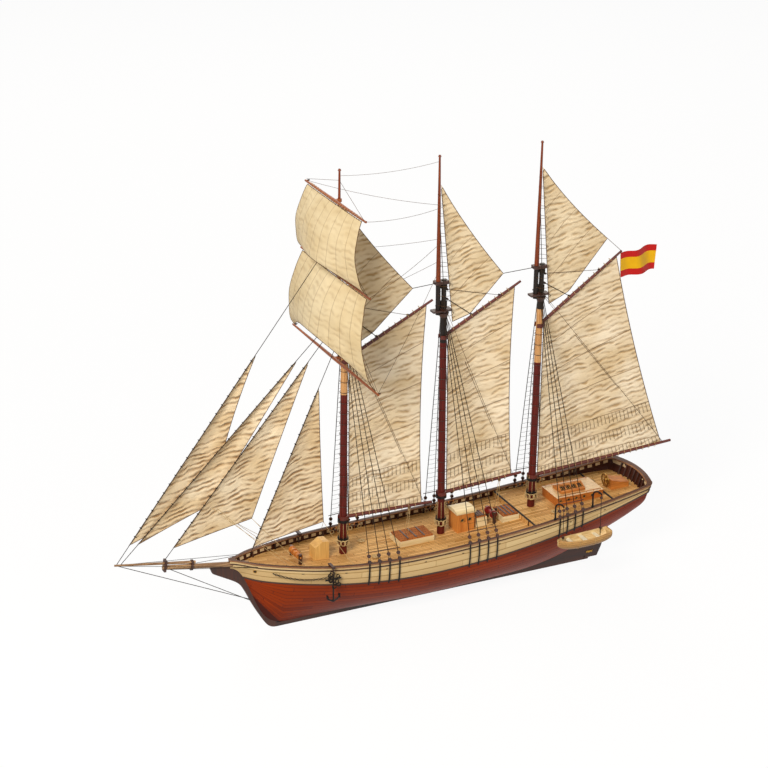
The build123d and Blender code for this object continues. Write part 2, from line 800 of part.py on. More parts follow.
# ================================================================ standing rigging
def shroud_lines():
    """For each shroud: its mast, side, lower deadeye, upper deadeye, head and direction"""
    lines = []
    for mast, pitch in zip(masts, shroud_pitches):
        for side in (-1, 1):
            for i in range(shroud_count):
                x = mast.x + shroud_start + pitch * i
                y = side * (half_breadth(x) + band_proud / 2)
                foot = Vector(x, y, rail_top(x) + deadeye_radius + 0.6)
                head = mast.at(shroud_top_z, forward=1.8 - 1.2 * i, y=side * hounds_radius * 0.8)
                run = (head - foot).normalized()
                lines.append((mast, side, foot, foot + run * deadeye_rise, head, run))
    return lines


def deadeye(centre, run):
    """Round block facing outboard, square to its shroud"""
    facing = run.cross(Vector(1, 0, 0)).normalized()
    start = centre - facing * (deadeye_thickness / 2)
    return rod(start, start + facing * deadeye_thickness, deadeye_radius)


def line_deadeyes(line):
    """The lower and upper deadeye of a shroud"""
    _, _, low, high, _, run = line
    return [deadeye(low, run), deadeye(high, run)]


def chain_plates(layer, eyes):
    """Flat irons from each lower deadeye to below the wale, over the edges of the rail and the wales"""
    strips = []
    for _, side, foot, _, _, _ in shroud_lines():
        x = foot.X
        near = side * (half_breadth(x) - 12)
        far = side * (half_breadth(x) + 6)
        strips.append(block(x - chainplate_width / 2, x + chainplate_width / 2, near, far,
                            wale(x) - chainplate_drop, rail_top(x) + 1.2))
    return (layer & group(strips)) - eyes


# ================================================================ deck fittings
def seated(shape, deck_solid):
    """A fitting drawn through the deck, cut to stand on it"""
    return shape - deck_solid


def coaming(x, length, height, deck_solid):
    top = deck_z(x + length / 2) + height
    half = hatch_half_width if height == coaming_height else hatch_half_width * 0.62
    outside = block(x, x + length, -half, half, top - height - 4, top)
    wall = coaming_wall
    inside = block(x + wall, x + length - wall, -half + wall, half - wall, top - height - 5, top + 1)
    cover = block(x + wall / 2, x + length - wall / 2, -half + wall / 2, half - wall / 2,
                  top, top + cover_thickness)
    return seated(outside - inside, deck_solid), cover


def cambered_roof(x, length, half, z, rise, thickness):
    """Roof slab arched athwart, its underside flat on the walls"""
    left = Vector(x, -half, z)
    right = Vector(x, half, z)
    left_up = Vector(x, -half, z + thickness)
    right_up = Vector(x, half, z + thickness)
    crown = Vector(x, 0, z + thickness + rise)
    face = Face(Wire([Line(left, right), Line(right, right_up), ThreePointArc(right_up, crown, left_up),
                      Line(left_up, left)]))
    return Solid.extrude(face, Vector(length, 0, 0))


def roller(x, half, radius, z, disc_radius, disc_count):
    """Barrel with discs on it and a journal at each end, lying athwart"""
    barrel = rod(Vector(x, -half, z), Vector(x, half, z), radius)
    for i in range(disc_count):
        y = -half + (2 * half - 1.6) * i / (disc_count - 1)
        barrel += rod(Vector(x, y, z), Vector(x, y + 1.6, z), disc_radius)
    ends = half + running_gap + bitt_width
    return barrel + rod(Vector(x, -ends, z), Vector(x, ends, z), journal_radius)


def bitts(x, half, z, deck_solid):
    """Two posts that carry a roller's journals"""
    posts = []
    for side in (-1, 1):
        near = side * (half + running_gap)
        far = side * (half + running_gap + bitt_width)
        post = block(x - bitt_width / 2, x + bitt_width / 2, near, far, z - 16, z + 4)
        bore = rod(Vector(x, near - 9, z), Vector(x, near + 9, z), journal_radius + running_gap)
        posts.append(seated(post - bore, deck_solid))
    return posts


def steering_wheel(x, z):
    """Rim, spokes with handles, hub and the shaft that runs into the wheel box"""
    face = Plane(origin=(x, 0, z), z_dir=(1, 0, 0))
    rim = Solid.make_cylinder(wheel_radius, wheel_rim, face) - Solid.make_cylinder(
        wheel_radius - wheel_rim, wheel_rim, face)
    hub = Solid.make_cylinder(2.0, wheel_rim + 0.6, face)
    wheel = rim + hub
    mid = Vector(x + wheel_rim / 2, 0, z)
    for i in range(wheel_spokes):
        turn = 2 * math.pi * (i + 0.5) / wheel_spokes
        out = Vector(0, math.cos(turn), math.sin(turn))
        wheel += rod(mid, mid + out * (wheel_radius + 2.2), 0.45)
    return wheel + rod(mid, Vector(wheelbox_x + 5, 0, z), journal_radius)


# ================================================================ rudder
def rudder_axis(z):
    """Point on the line of the pintles at height z"""
    rake = math.tan(math.radians(sternpost_rake))
    clear = (rudder_stock_radius + running_gap) / math.cos(math.radians(sternpost_rake))
    return Vector(sternpost_x + z * rake + clear, 0, z)


def rudder_blade():
    """Blade with a round leading edge, notched for the gudgeons, on its pintles"""
    low = rudder_axis(rudder_foot_z)
    high = rudder_axis(rudder_top_z)
    half = rudder_stock_radius * 0.75
    profile = [
        (low.X, low.Z),
        (low.X + rudder_breadth, low.Z),
        (low.X + rudder_breadth + 6, low.Z + 13),
        (high.X + rudder_breadth * 0.62, high.Z - 2.0),
        (high.X, high.Z),
    ]
    blade = side_polygon(profile, -half, half) + rod(low, high, rudder_stock_radius)
    for z in gudgeon_levels:
        run = (high - low).normalized()
        near = rudder_axis(z) - run * (gudgeon_height / 2 + 0.3)
        far = rudder_axis(z) + run * (gudgeon_height / 2 + 0.3)
        blade = blade - rod(near, far, pintle_radius + gudgeon_wall + 0.5)
        blade = blade + rod(near, far, pintle_radius)
    return blade + rod(high, rudder_axis(rudder_top_z + 12), rudder_stock_radius * 0.8)


def gudgeon(z, post):
    """Strap on the sternpost with the ring that holds a pintle"""
    run = (rudder_axis(40) - rudder_axis(0)).normalized()
    centre = rudder_axis(z)
    low = centre - run * (gudgeon_height / 2)
    high = centre + run * (gudgeon_height / 2)
    outer = pintle_radius + running_gap + gudgeon_wall
    side = keel_width / 2 + 0.6
    strap = block(centre.X - 9, centre.X, -side, side, z - gudgeon_height / 2, z + gudgeon_height / 2)
    room = rod(centre - run * 9, centre + run * 9, rudder_stock_radius * 1.0 + running_gap)
    ring = rod(low, high, outer)
    web = block(centre.X - rudder_stock_radius - 1, centre.X, -outer, outer,
                z - gudgeon_height / 2, z + gudgeon_height / 2)
    bore = rod(centre - run * 9, centre + run * 9, pintle_radius + running_gap)
    return cut((strap - room) + ring + (web & rod(low, high, rudder_stock_radius + 1.5)), bore, post)


# ================================================================ boat, davits and anchors
def boat_body(grow, length):
    """Round-bilged boat hull, pointed forward and narrow aft"""
    wires = []
    centre_y = -(half_breadth(boat_x) + boat_out + boat_half_beam)
    stations = ((0.0, 0.12, 0.5), (0.12, 0.6, 0.12), (0.4, 1.0, 0.0), (0.75, 0.95, 0.03), (1.0, 0.62, 0.3))
    for share, breadth, lift in stations:
        x = boat_x - length / 2 + length * share
        half = max(0.4, boat_half_beam * breadth + grow)
        low = boat_keel_z + boat_depth * lift - grow
        top = boat_keel_z + boat_depth + 3.0 * (2 * share - 0.9) ** 2
        bilge = low + (top - low) * 0.3
        points = [Vector(x, centre_y - half, top), Vector(x, centre_y - half * 0.86, bilge),
                  Vector(x, centre_y, low),
                  Vector(x, centre_y + half * 0.86, bilge), Vector(x, centre_y + half, top)]
        wires.append(Wire([Spline(*points), Line(points[-1], points[0])]))
    return Solid.make_loft(wires)


def ship_boat():
    """Open boat shell with three thwarts across it"""
    outside = boat_body(0, boat_length)
    inside = boat_body(-boat_wall, boat_length - 3 * boat_wall)
    lift = Pos(0, 0, boat_wall * 2.2) * inside
    lid = block(boat_x - boat_length, boat_x + boat_length, -y_far - 40, 0,
                boat_keel_z + boat_depth * 1.6, boat_keel_z + boat_depth * 3)
    shell = cut(outside, inside, lift, lid)
    z = boat_keel_z + boat_depth * 0.72
    thwarts = []
    for share in (-0.26, 0.0, 0.26):
        x = boat_x + boat_length * share
        plank = block(x - 2.5, x + 2.5, -y_far - 40, 0, z, z + 1.0)
        thwarts.append(plank & inside)
    return shell, thwarts


def davit(x, rail_solid):
    """Curved iron arm standing in the rail, reaching over the boat"""
    y = -(half_breadth(x) - planking / 2)
    foot = Vector(x, y, rail_top(x))
    head = Vector(x, y, rail_top(x) + davit_height * 0.55)
    reach = boat_out + boat_half_beam * 0.6
    top = Vector(x, y - reach * 0.3, rail_top(x) + davit_height * 0.9)
    tip = Vector(x, y - reach, rail_top(x) + davit_height)
    path = Wire([Line(foot, head), Spline(head, top, tip, tangents=[Vector(0, 0, 1), Vector(0, -1, -0.3)])])
    profile = Plane(origin=foot, z_dir=(0, 0, 1)) * Circle(davit_radius)
    arm = sweep(profile, path=path)
    heel = rod(foot, foot + Vector(0, 0, 2), davit_radius + 0.7)
    return cut(arm + heel, rail_solid)


def boat_fall(x, shell):
    """Rope from a davit's end down to the boat's bottom"""
    y = -(half_breadth(x) - planking / 2) - boat_out - boat_half_beam * 0.6
    top = Vector(x, y, rail_top(x) + davit_height)
    line = rod(Vector(x, y, boat_keel_z + 2), top - Vector(0, 0, davit_radius * 0.5), stay_radius)
    return highest(line - shell)


def anchor(side):
    """Stocked anchor hung by its ring from a cathead"""
    x = anchor_x
    y = side * (half_breadth(x) + cathead_reach - 2)
    crown = Vector(x, y, anchor_z)
    ring = crown + Vector(0, 0, anchor_shank)
    shape = rod(crown, ring, anchor_radius)
    for end in (-1, 1):
        bend = crown + Vector(end * anchor_half_span * 0.6, 0, 2.6)
        tip = crown + Vector(end * anchor_half_span, 0, 8.5)
        shape += rod(crown, bend, anchor_radius)
        shape += rod(bend, tip, anchor_radius, 0.4)
        palm = bend + (tip - bend) * 0.6
        shape += block(palm.X - 0.5, palm.X + 0.5, y - 2.2, y + 2.2, palm.Z - 2.4, palm.Z + 2.4)
    stock_z = anchor_z + anchor_shank * 0.86
    shape += rod(Vector(x - 10, y, stock_z), Vector(x + 10, y, stock_z), 1.1)
    return shape


def cathead(side, bulwark_tools):
    """Beam that stands out over the side above the anchor, with the fall that holds the anchor"""
    x = anchor_x
    inner_y = side * (half_breadth(x) - 6)
    outer_y = side * (half_breadth(x) + cathead_reach)
    z = rail_top(x)
    beam = block(x - 1.6, x + 1.6, inner_y, outer_y, z, z + 3.0)
    y = side * (half_breadth(x) + cathead_reach - 2)
    fall = rod(Vector(x, y, anchor_z + anchor_shank), Vector(x, y, z), 0.6)
    return cut(beam + fall, *bulwark_tools)


# ================================================================ houses and boxes on deck
def companionway(deck_solid):
    """Sloping hood over the forecastle ladder, its door set into the fore side"""
    floor = deck_z(companion_x) - 4
    roof = deck_z(companion_x) + companion_height
    x0 = companion_x
    x1 = companion_x + companion_length
    outline = [(x0, floor), (x1, floor), (x1, roof - 1), (x1 - 8, roof), (x0 + 2, roof - 7)]
    hood = side_polygon(outline, -companion_half_width, companion_half_width)
    door = block(x0 - 1, x0 + 1.2, -4.0, 4.0, deck_z(x0) + 1.5, roof - 9)
    return seated(hood - door, deck_solid)


def deckhouse(deck_solid):
    """Square house with a window in each side and a door aft, and its cambered roof"""
    top = deck_z(house_x) + house_height
    end = house_x + house_length
    walls = block(house_x, end, -house_half_width, house_half_width, top - house_height - 4, top)
    openings = [block(end - 0.8, end + 1, -3.6, 3.6, top - house_height + 3, top - 4)]
    for side in (-1, 1):
        y = side * house_half_width
        openings.append(block(house_x + 8, house_x + 14, y - 0.6, y + 0.6, top - 12, top - 6))
    roof = cambered_roof(house_x - roof_overhang, house_length + 2 * roof_overhang,
                         house_half_width + roof_overhang, top, roof_camber, house_roof)
    return seated(cut(walls, *openings), deck_solid), roof


def cabin_roof_z():
    return deck_z(cabin_x) + cabin_height + cabin_roof


def after_cabin(deck_solid):
    """Low cabin on the quarterdeck, with a lid that overhangs its walls"""
    top = deck_z(cabin_x) + cabin_height
    over = roof_overhang / 2
    half = cabin_half_width
    walls = block(cabin_x, cabin_x + cabin_length, -half, half, top - cabin_height - 5, top)
    lid = block(cabin_x - over, cabin_x + cabin_length + over, -half - over, half + over, top, cabin_roof_z())
    return seated(walls, deck_solid) + lid


def skylight_body(z, inset, lift):
    """House-shaped solid of the skylight, smaller all round by inset and lower by lift"""
    x0 = skylight_x + inset
    half = skylight_half_width - inset
    eaves = z + skylight_eaves
    points = [Vector(x0, -half, z), Vector(x0, half, z), Vector(x0, half, eaves - lift),
              Vector(x0, 0, eaves + skylight_rise - lift), Vector(x0, -half, eaves - lift)]
    edges = [Line(a, b) for a, b in zip(points, points[1:] + points[:1])]
    return Solid.extrude(Face(Wire(edges)), Vector(skylight_length - 2 * inset, 0, 0))


def skylight(z):
    """Pitched skylight: a frame with rows of openings, and the panes behind them"""
    eaves = z + skylight_eaves
    inside = skylight_body(z, skylight_wall, skylight_wall)
    pitch = (skylight_length - skylight_wall) / skylight_lights
    slots = []
    for i in range(skylight_lights):
        a = skylight_x + skylight_wall + pitch * i
        b = a + pitch - skylight_wall
        for side in (-1, 1):
            slots.append(block(a, b, side * 1.6, side * (skylight_half_width - 2.4), eaves - 1.2,
                               eaves + skylight_rise + 2))
    frame = cut(skylight_body(z, 0, 0) - inside, *slots)
    return frame, inside - skylight_body(z, skylight_wall + pane_thickness, skylight_wall + pane_thickness)


def wheel_box(wheel_z, deck_solid):
    """Box over the steering gear, bored for the wheel's shaft"""
    top = deck_z(wheelbox_x) + wheelbox_height
    floor = deck_z(wheelbox_x) - 5
    end = wheelbox_x + wheelbox_length
    outline = [(wheelbox_x, floor), (end, floor), (end, top - 2), (wheelbox_x + wheelbox_length * 0.5, top),
               (wheelbox_x, top + 4)]
    box = side_polygon(outline, -wheelbox_half_width, wheelbox_half_width)
    bore = rod(Vector(wheelbox_x - 9, 0, wheel_z), Vector(wheelbox_x + 6, 0, wheel_z),
               journal_radius + running_gap)
    return seated(box - bore, deck_solid)


# ================================================================ bowsprit and jibboom
class Bowsprit:
    """Bowsprit, with the jibboom above it in a cap and a saddle"""

    def __init__(self):
        angle = math.radians(bowsprit_slope)
        self.run = Vector(-math.cos(angle), 0, math.sin(angle))
        self.stem_head = Vector(stem_x, 0, bowsprit_z)
        self.end = self.stem_head + self.run * bowsprit_reach
        self.lift = Vector(math.sin(angle), 0, math.cos(angle)) * (bowsprit_radius + jibboom_radius)
        self.heel = self.stem_head + self.run * jibboom_heel + self.lift
        self.jib_end = self.stem_head + self.run * jibboom_reach + self.lift
        inboard_end = self.stem_head - self.run * bowsprit_inboard
        self.spar = rod(inboard_end, self.end, bowsprit_radius, bowsprit_end_radius)
        self.jibboom = rod(self.heel, self.jib_end, jibboom_radius, jibboom_end_radius)

    def cap(self):
        """Block at the bowsprit's end that the jibboom passes through"""
        half = bowsprit_radius + cap_wall
        centre = self.end - self.run * (bowsprit_cap_width + 1) + self.lift * 0.5
        plane = Plane(origin=centre, x_dir=(0, 1, 0), z_dir=self.run)
        face = plane * Rectangle(half * 1.5, half * 2 + jibboom_radius * 2)
        return cut(extrude(face, bowsprit_cap_width), self.spar, self.jibboom)

    def saddle(self):
        """Twin collars that hold the jibboom's heel to the bowsprit"""
        start = self.heel + self.run * 3
        end = start + self.run * 2.4
        lower = rod(start - self.lift, end - self.lift, bowsprit_radius + 1.4)
        return cut(lower + rod(start, end, jibboom_radius + 1.2), self.spar, self.jibboom)


# ================================================================ hull
class Hull:
    """The hull's surfaces as solids, which the pieces are cut from or stand on"""

    def __init__(self):
        self.proud = hull_body(band_proud)
        self.outer = hull_body(0)
        self.inner = hull_body(-planking)
        self.rail_inner = hull_body(-planking - rail_inboard)
        self.under_wale = below(wale)
        self.under_sheer = below(sheer)
        forward = block(x_fore, break_x, -y_far, y_far, z_deep, 200)
        aft = block(break_x, x_aft, -y_far, y_far, z_deep, 200)
        self.to_main_deck = below(main_deck_z) & forward
        self.to_quarter_deck = below(quarter_deck_top, break_x - 60) & aft
        self.decks = self.to_main_deck + self.to_quarter_deck
        self.under_main = below(lowered(main_deck_z, deck_thickness)) & forward
        self.under_quarter = below(lowered(quarter_deck_top, deck_thickness), break_x - 60) & aft

    def cap_rail(self):
        return ((self.proud - self.rail_inner) & below(rail_top)) - self.under_sheer

    def wales(self, stem):
        """Lower wale, and the rubbing strake below the rail, both bent round outside the planking"""
        layer = self.proud - self.outer
        half = wale_height / 2
        lower = (layer & below(lowered(wale, -half))) - below(lowered(wale, half))
        strake_foot = below(lowered(sheer, strake_drop + strake_height))
        upper = (layer & below(lowered(sheer, strake_drop))) - strake_foot
        return group([cut(lower, stem), cut(upper, stem)])

    def bulwarks(self, sprit):
        """Planking above the wale: port side, starboard side and transom"""
        layer = (self.outer - self.inner) & self.under_sheer
        whole = (layer - self.under_wale) - sprit
        joint = stern_x - transom_depth
        port = whole & block(x_fore, joint, -y_far, 0, z_deep, 200)
        starboard = whole & block(x_fore, joint, 0, y_far, z_deep, 200)
        return group([port, starboard, whole & block(joint, x_aft, -y_far, y_far, z_deep, 200)])

    def stanchions(self, beam):
        """Posts inside the bulwarks, down to the deck"""
        slabs = []
        half = stanchion_width / 2
        x = stem_x + 38
        while x < stern_x - 40:
            slabs.append(block(x - half, x + half, -y_far, y_far, 0, 200))
            x += stanchion_pitch
        for i in range(-3, 4):
            y = i * 9.0
            slabs.append(block(stern_x - 40, x_aft, y - half, y + half, 0, 200))
        layer = (self.inner - self.rail_inner) & self.under_sheer
        return group([cut(layer & group(slabs), self.decks, beam)])


def hull_parts(hull, sprit):
    """Keel, planking, decks, frame and rails"""
    parts = {}
    lowers = [mast.lower() for mast in masts]
    keel, stem, post, deadwood = keel_timbers(hull.outer, sprit.spar)
    stock_hole = rod(rudder_axis(rudder_top_z - 3), rudder_axis(rudder_top_z + 14),
                     rudder_stock_radius + running_gap)
    skin = hull.outer - hull.inner
    beam = hull.inner & block(break_x - break_beam, break_x, -y_far, y_far, 0, quarter_deck_z)
    beam = beam - hull.to_main_deck
    spine, bulkheads = inner_structure(hull.inner, hull.under_main + hull.under_quarter)
    parts["keel"] = keel
    parts["stem"] = stem
    parts["sternpost"] = group([post, deadwood])
    parts["hull_planking"] = cut(skin & hull.under_wale, sprit.spar, stock_hole)
    parts["bulwarks"] = hull.bulwarks(sprit.spar)
    parts["main_deck"] = cut((hull.inner & hull.to_main_deck) - hull.under_main, *lowers, sprit.spar)
    quarter_deck = cut((hull.inner & hull.to_quarter_deck) - hull.under_quarter, *lowers)
    parts["quarter_deck"] = group([quarter_deck, beam])
    parts["spine"] = cut(spine, *lowers, stock_hole)
    parts["bulkheads"] = group([cut(piece, *lowers) for piece in bulkheads])
    parts["cap_rail"] = cut(hull.cap_rail(), sprit.spar)
    parts["wales"] = hull.wales(stem)
    parts["bulwark_stanchions"] = hull.stanchions(beam)
    parts["rudder"] = rudder_blade()
    parts["gudgeons"] = group([gudgeon(z, post + deadwood) for z in gudgeon_levels])
    return parts


def deck_parts(deck_solid):
    """Hatches, houses, winding gear and the wheel"""
    parts = {}
    hatches = [coaming(x, length, height, deck_solid) for x, length, height in (
        (fore_hatch_x, fore_hatch_length, coaming_height),
        (main_hatch_x, main_hatch_length, coaming_height),
        (scuttle_x, scuttle_length, scuttle_height))]
    parts["hatch_coamings"] = group([frame for frame, _ in hatches])
    parts["hatch_covers"] = group([cover for _, cover in hatches])
    parts["companionway"] = companionway(deck_solid)
    parts["deckhouse"], parts["deckhouse_roof"] = deckhouse(deck_solid)
    parts["after_cabin"] = after_cabin(deck_solid)
    parts["skylight"], parts["skylight_panes"] = skylight(cabin_roof_z())
    windlass_z = deck_z(windlass_x) + windlass_height
    winch_z = deck_z(winch_x) + winch_height
    wheel_z = deck_z(wheelbox_x) + wheel_height
    parts["windlass_barrel"] = roller(windlass_x, windlass_half, windlass_radius, windlass_z,
                                      windlass_radius + 1, 4)
    parts["winch_barrel"] = roller(winch_x, winch_half, winch_radius, winch_z, winch_wheel_radius, 2)
    parts["bitts"] = group(bitts(windlass_x, windlass_half, windlass_z, deck_solid)
                           + bitts(winch_x, winch_half, winch_z, deck_solid))
    parts["wheel_box"] = wheel_box(wheel_z, deck_solid)
    parts["steering_wheel"] = steering_wheel(wheelbox_x - 4.5, wheel_z)
    return parts


def side_parts(rail):
    """Boat in its davits, and the anchors"""
    shell, thwarts = ship_boat()
    arms = [davit(boat_x + side * davit_spread, rail) for side in (-1, 1)]
    falls = [boat_fall(boat_x + side * davit_spread, shell) for side in (-1, 1)]
    return {
        "ship_boat": shell,
        "boat_thwarts": group(thwarts),
        "davits": group(arms + [cut(fall, *arms) for fall in falls]),
        "anchors": group([anchor(side) for side in (-1, 1)]),
        "catheads": group([cathead(side, [rail]) for side in (-1, 1)]),
    }


# ================================================================ masts and rigging together
def mast_parts(sprit):
    parts = {"bowsprit": sprit.spar, "jibboom": sprit.jibboom}
    for name, mast in zip(("fore", "main", "mizzen"), masts):
        parts[name + "_mast"] = mast.lower()
        parts[name + "_topmast"] = mast.topmast()
    tops = [crosstrees(mast) for mast in masts] + [mast_cap(mast) for mast in masts]
    parts["crosstrees_and_caps"] = group(tops + [sprit.cap(), sprit.saddle()])
    bands = [boom_saddle(mast) for mast in masts] + [spider_band(mast) for mast in masts]
    parts["mast_bands"] = group(bands + [yard_truss(fore)])
    return parts


def largest(piece):
    """The largest solid of a piece that a cut has left in several"""
    return max(piece.solids(), key=lambda solid: solid.volume)


def shroud_ropes():
    """Shrouds, the lanyards between their deadeyes, and the topmast shrouds"""
    tops = {mast: crosstrees(mast) for mast in masts}
    ropes = []
    for line in shroud_lines():
        mast, _, low, high, head, run = line
        lower_eye, upper_eye = line_deadeyes(line)
        shroud = rod(high + run * deadeye_radius * 0.9, head, shroud_radius)
        ropes.append(largest(cut(shroud, upper_eye, mast.lower(), tops[mast])))
        for shift in (-1, 1):
            step = Vector(shift * deadeye_radius * 0.45, 0, 0)
            ropes.append(cut(rod(low + step, high + step, lanyard_radius), lower_eye, upper_eye))
    for mast in masts:
        for side in (-1, 1):
            arm_x = (mast.at(crosstree_z).X + mast.top_at(crosstree_z).X) / 2
            foot = Vector(arm_x, side * (crosstree_half - 1), crosstree_z + 1.4)
            rope = rod(foot, mast.top_at(topmast_shroud_z), stay_radius)
            ropes.append(largest(cut(rope, mast.topmast(), tops[mast])))
    return group(ropes)


def stay_ends(sprit):
    """Lower and upper end of each fore stay, from the outermost in"""
    lows = [sprit.jib_end - sprit.run * 2, sprit.jib_end - sprit.run * 7, sprit.end + sprit.run + sprit.lift,
            sprit.stem_head - sprit.run * (bowsprit_inboard - 2)]
    highs = [fore.top_at(outer_stay_z), fore.top_at(jib_stay_z), fore.top_at(inner_stay_z),
             fore.at(fore_stay_z)]
    return list(zip(lows, highs))


def stay_parts(sprit, hull, stem, rail, topsails, clews):
    """Fore stays, bobstays, topsail sheets and headsails"""
    ends = stay_ends(sprit)
    stays = [rod(low, high, stay_radius) for low, high in ends]
    bob_foot = Vector(forefoot_x - 15, 0, bobstay_z)
    bobstays = [rod(bob_foot, sprit.end - sprit.run * 3, stay_radius),
                rod(bob_foot + Vector(0, 0, 4), sprit.jib_end - sprit.run * 1.5, stay_radius)]
    keepers = [fore.lower(), fore.topmast(), crosstrees(fore), stem, rail, hull.outer]
    keepers += [sprit.spar, sprit.jibboom, sprit.cap(), sprit.saddle()]
    ropes = [largest(cut(rope, *keepers)) for rope in stays + bobstays]
    for clew, mast in zip(clews, (main, mizzen)):
        sheet = rod(clew - Vector(2, 0, 0), mast.at(cap_z + cap_height / 2), stay_radius)
        ropes.append(largest(cut(sheet, *topsails, mast.lower(), mast.topmast(), mast_cap(mast))))
    sails = ((flying_jib, flying_jib_hollow), (outer_jib, outer_jib_hollow), (inner_jib, inner_jib_hollow),
             (fore_staysail, fore_staysail_hollow))
    jibs = [stay_sail(low, high, shares, hollow) for (low, high), (shares, hollow) in zip(ends, sails)]
    return {"stays": group(ropes), "jibs": group([cut(jib, *stays) for jib in jibs])}


def rig_parts(rigs):
    """Booms, gaffs, their sails and the flag at the mizzen gaff's end"""
    parts = {}
    for name, rig in zip(("fore", "main", "mizzen"), rigs):
        parts[name + "_boom"] = rig.boom
        parts[name + "_gaff"] = rig.gaff
        parts[name + "_sail"] = rig.sail()
    hoist = rigs[2].peak + Vector(0, 0, -gaff_end_radius * 0.5)
    fly = hoist + Vector(flag_fly, 0, 3)
    outline = [(hoist.X, hoist.Z), (fly.X, fly.Z), (fly.X, fly.Z - flag_hoist),
               (hoist.X + 1, hoist.Z - flag_hoist)]
    parts["flag"] = cut(side_polygon(outline, -flag_cloth / 2, flag_cloth / 2), rigs[2].gaff)
    return parts


def yard_parts():
    """Three yards on the fore mast and the two square sails between them"""
    yards = [yard(upper_yard_z, upper_yard_half, fore.top_radius(upper_yard_z - 4)),
             yard(middle_yard_z, middle_yard_half, fore.top_radius(middle_yard_z - 4)),
             yard(lower_yard_z, lower_yard_half, truss_pin_radius)]
    upper = square_sail(upper_yard_z, middle_yard_z + yard_radius, upper_yard_half - 9, middle_yard_half - 5,
                        upper_roach)
    lower = square_sail(middle_yard_z, lower_yard_z + yard_radius, middle_yard_half - 7, lower_yard_half - 6,
                        lower_roach)
    return {"yards": group(yards), "square_sails": group([cut(upper, *yards), cut(lower, *yards)])}


def sail_rigs():
    """Boom, gaff and sail of each mast"""
    return [
        SailRig(fore, fore_boom_slope, fore_boom_length,
                fore_throat_z, fore_gaff_slope, fore_gaff_length),
        SailRig(main, main_boom_slope, main_boom_length,
                main_throat_z, main_gaff_slope, main_gaff_length),
        SailRig(mizzen, mizzen_boom_slope, mizzen_boom_length,
                mizzen_throat_z, mizzen_gaff_slope, mizzen_gaff_length),
    ]


# ================================================================ build
def build():
    """Every sub-part, by name"""
    sprit = Bowsprit()
    hull = Hull()
    parts = mast_parts(sprit)
    parts.update(hull_parts(hull, sprit))
    eyes = [eye for line in shroud_lines() for eye in line_deadeyes(line)]
    strap_layer = hull_body(band_proud + strap_proud) - hull.proud
    parts["chainplates"] = group([chain_plates(strap_layer, group(eyes[0::2]))])
    parts["deadeyes"] = group(eyes)
    parts.update(deck_parts(hull.decks))
    parts.update(side_parts(parts["cap_rail"]))
    parts["shrouds"] = shroud_ropes()
    rigs = sail_rigs()
    fore_head = upper_yard_z - parrel_height / 2 - head_drop
    heads = (fore_head, truck_z - main_head_drop, truck_z - mizzen_head_drop)
    topsails = []
    clews = []
    for rig, head_z, corners in zip(rigs, heads, (fore_topsail, main_topsail, mizzen_topsail)):
        sail, clew = gaff_topsail(rig, head_z, corners)
        topsails.append(sail)
        clews.append(clew)
    parts["gaff_topsails"] = group(topsails)
    parts.update(stay_parts(sprit, hull, parts["stem"], parts["cap_rail"], topsails, clews))
    parts.update(rig_parts(rigs))
    parts.update(yard_parts())
    return parts


os.makedirs("parts", exist_ok=True)
for node, shape in build().items():
    export_step(shape, "parts/" + node + ".step")
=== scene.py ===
"""Looks of a model topsail schooner: cloth sails, rigging, deck gear and materials around its CAD frame.

Metres, x aft, y to starboard, z up. The CAD pieces stay as they are; the sails and the flag are replaced
by cloth, and what is too fine for the CAD, such as ratlines, blocks, hoops and rope coils, is added.
"""

import math
import random
from functools import reduce

import bmesh
import bpy
from mathutils import Matrix, Vector, noise
from mathutils.bvhtree import BVHTree


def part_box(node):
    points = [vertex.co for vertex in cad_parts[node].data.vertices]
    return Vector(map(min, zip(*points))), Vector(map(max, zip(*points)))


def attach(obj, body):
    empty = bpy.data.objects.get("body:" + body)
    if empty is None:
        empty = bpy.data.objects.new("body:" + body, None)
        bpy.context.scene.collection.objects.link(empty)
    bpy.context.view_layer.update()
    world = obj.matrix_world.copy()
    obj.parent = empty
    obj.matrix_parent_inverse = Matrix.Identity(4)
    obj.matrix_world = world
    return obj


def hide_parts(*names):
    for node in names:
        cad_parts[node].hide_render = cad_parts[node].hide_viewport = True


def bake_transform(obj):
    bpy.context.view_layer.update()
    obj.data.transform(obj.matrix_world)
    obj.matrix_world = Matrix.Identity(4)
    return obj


bl_info = {
    "name": "Model schooner looks",
    "version": (1, 0, 0),
    "blender": (4, 5, 0),
    "location": "View3D > Sidebar > Schooner",
    "description": "Builds the cloth, rigging, deck gear and materials of a model schooner",
    "category": "Object",
}

MM = 0.001
HULL_START, HULL_END = -0.278, 0.279
# Lowest point (x, z) of each hull line, then its rise at the bow and at the stern
SHEER = (-0.070, 0.085, 0.0143, 0.0263)
WALE = (-0.040, 0.059, 0.0187, 0.0467)
MASTS = ("fore", "main", "mizzen")
SIDES = ((-1, "port"), (1, "starboard"))
REEF_ROWS = (0.035, 0.13, 0.225)  # shares of a gaff sail's height
LONG_SHROUD = 0.15  # shorter ones are topmast shrouds and lanyards
GRAIN_RELIEF_MM = 0.04


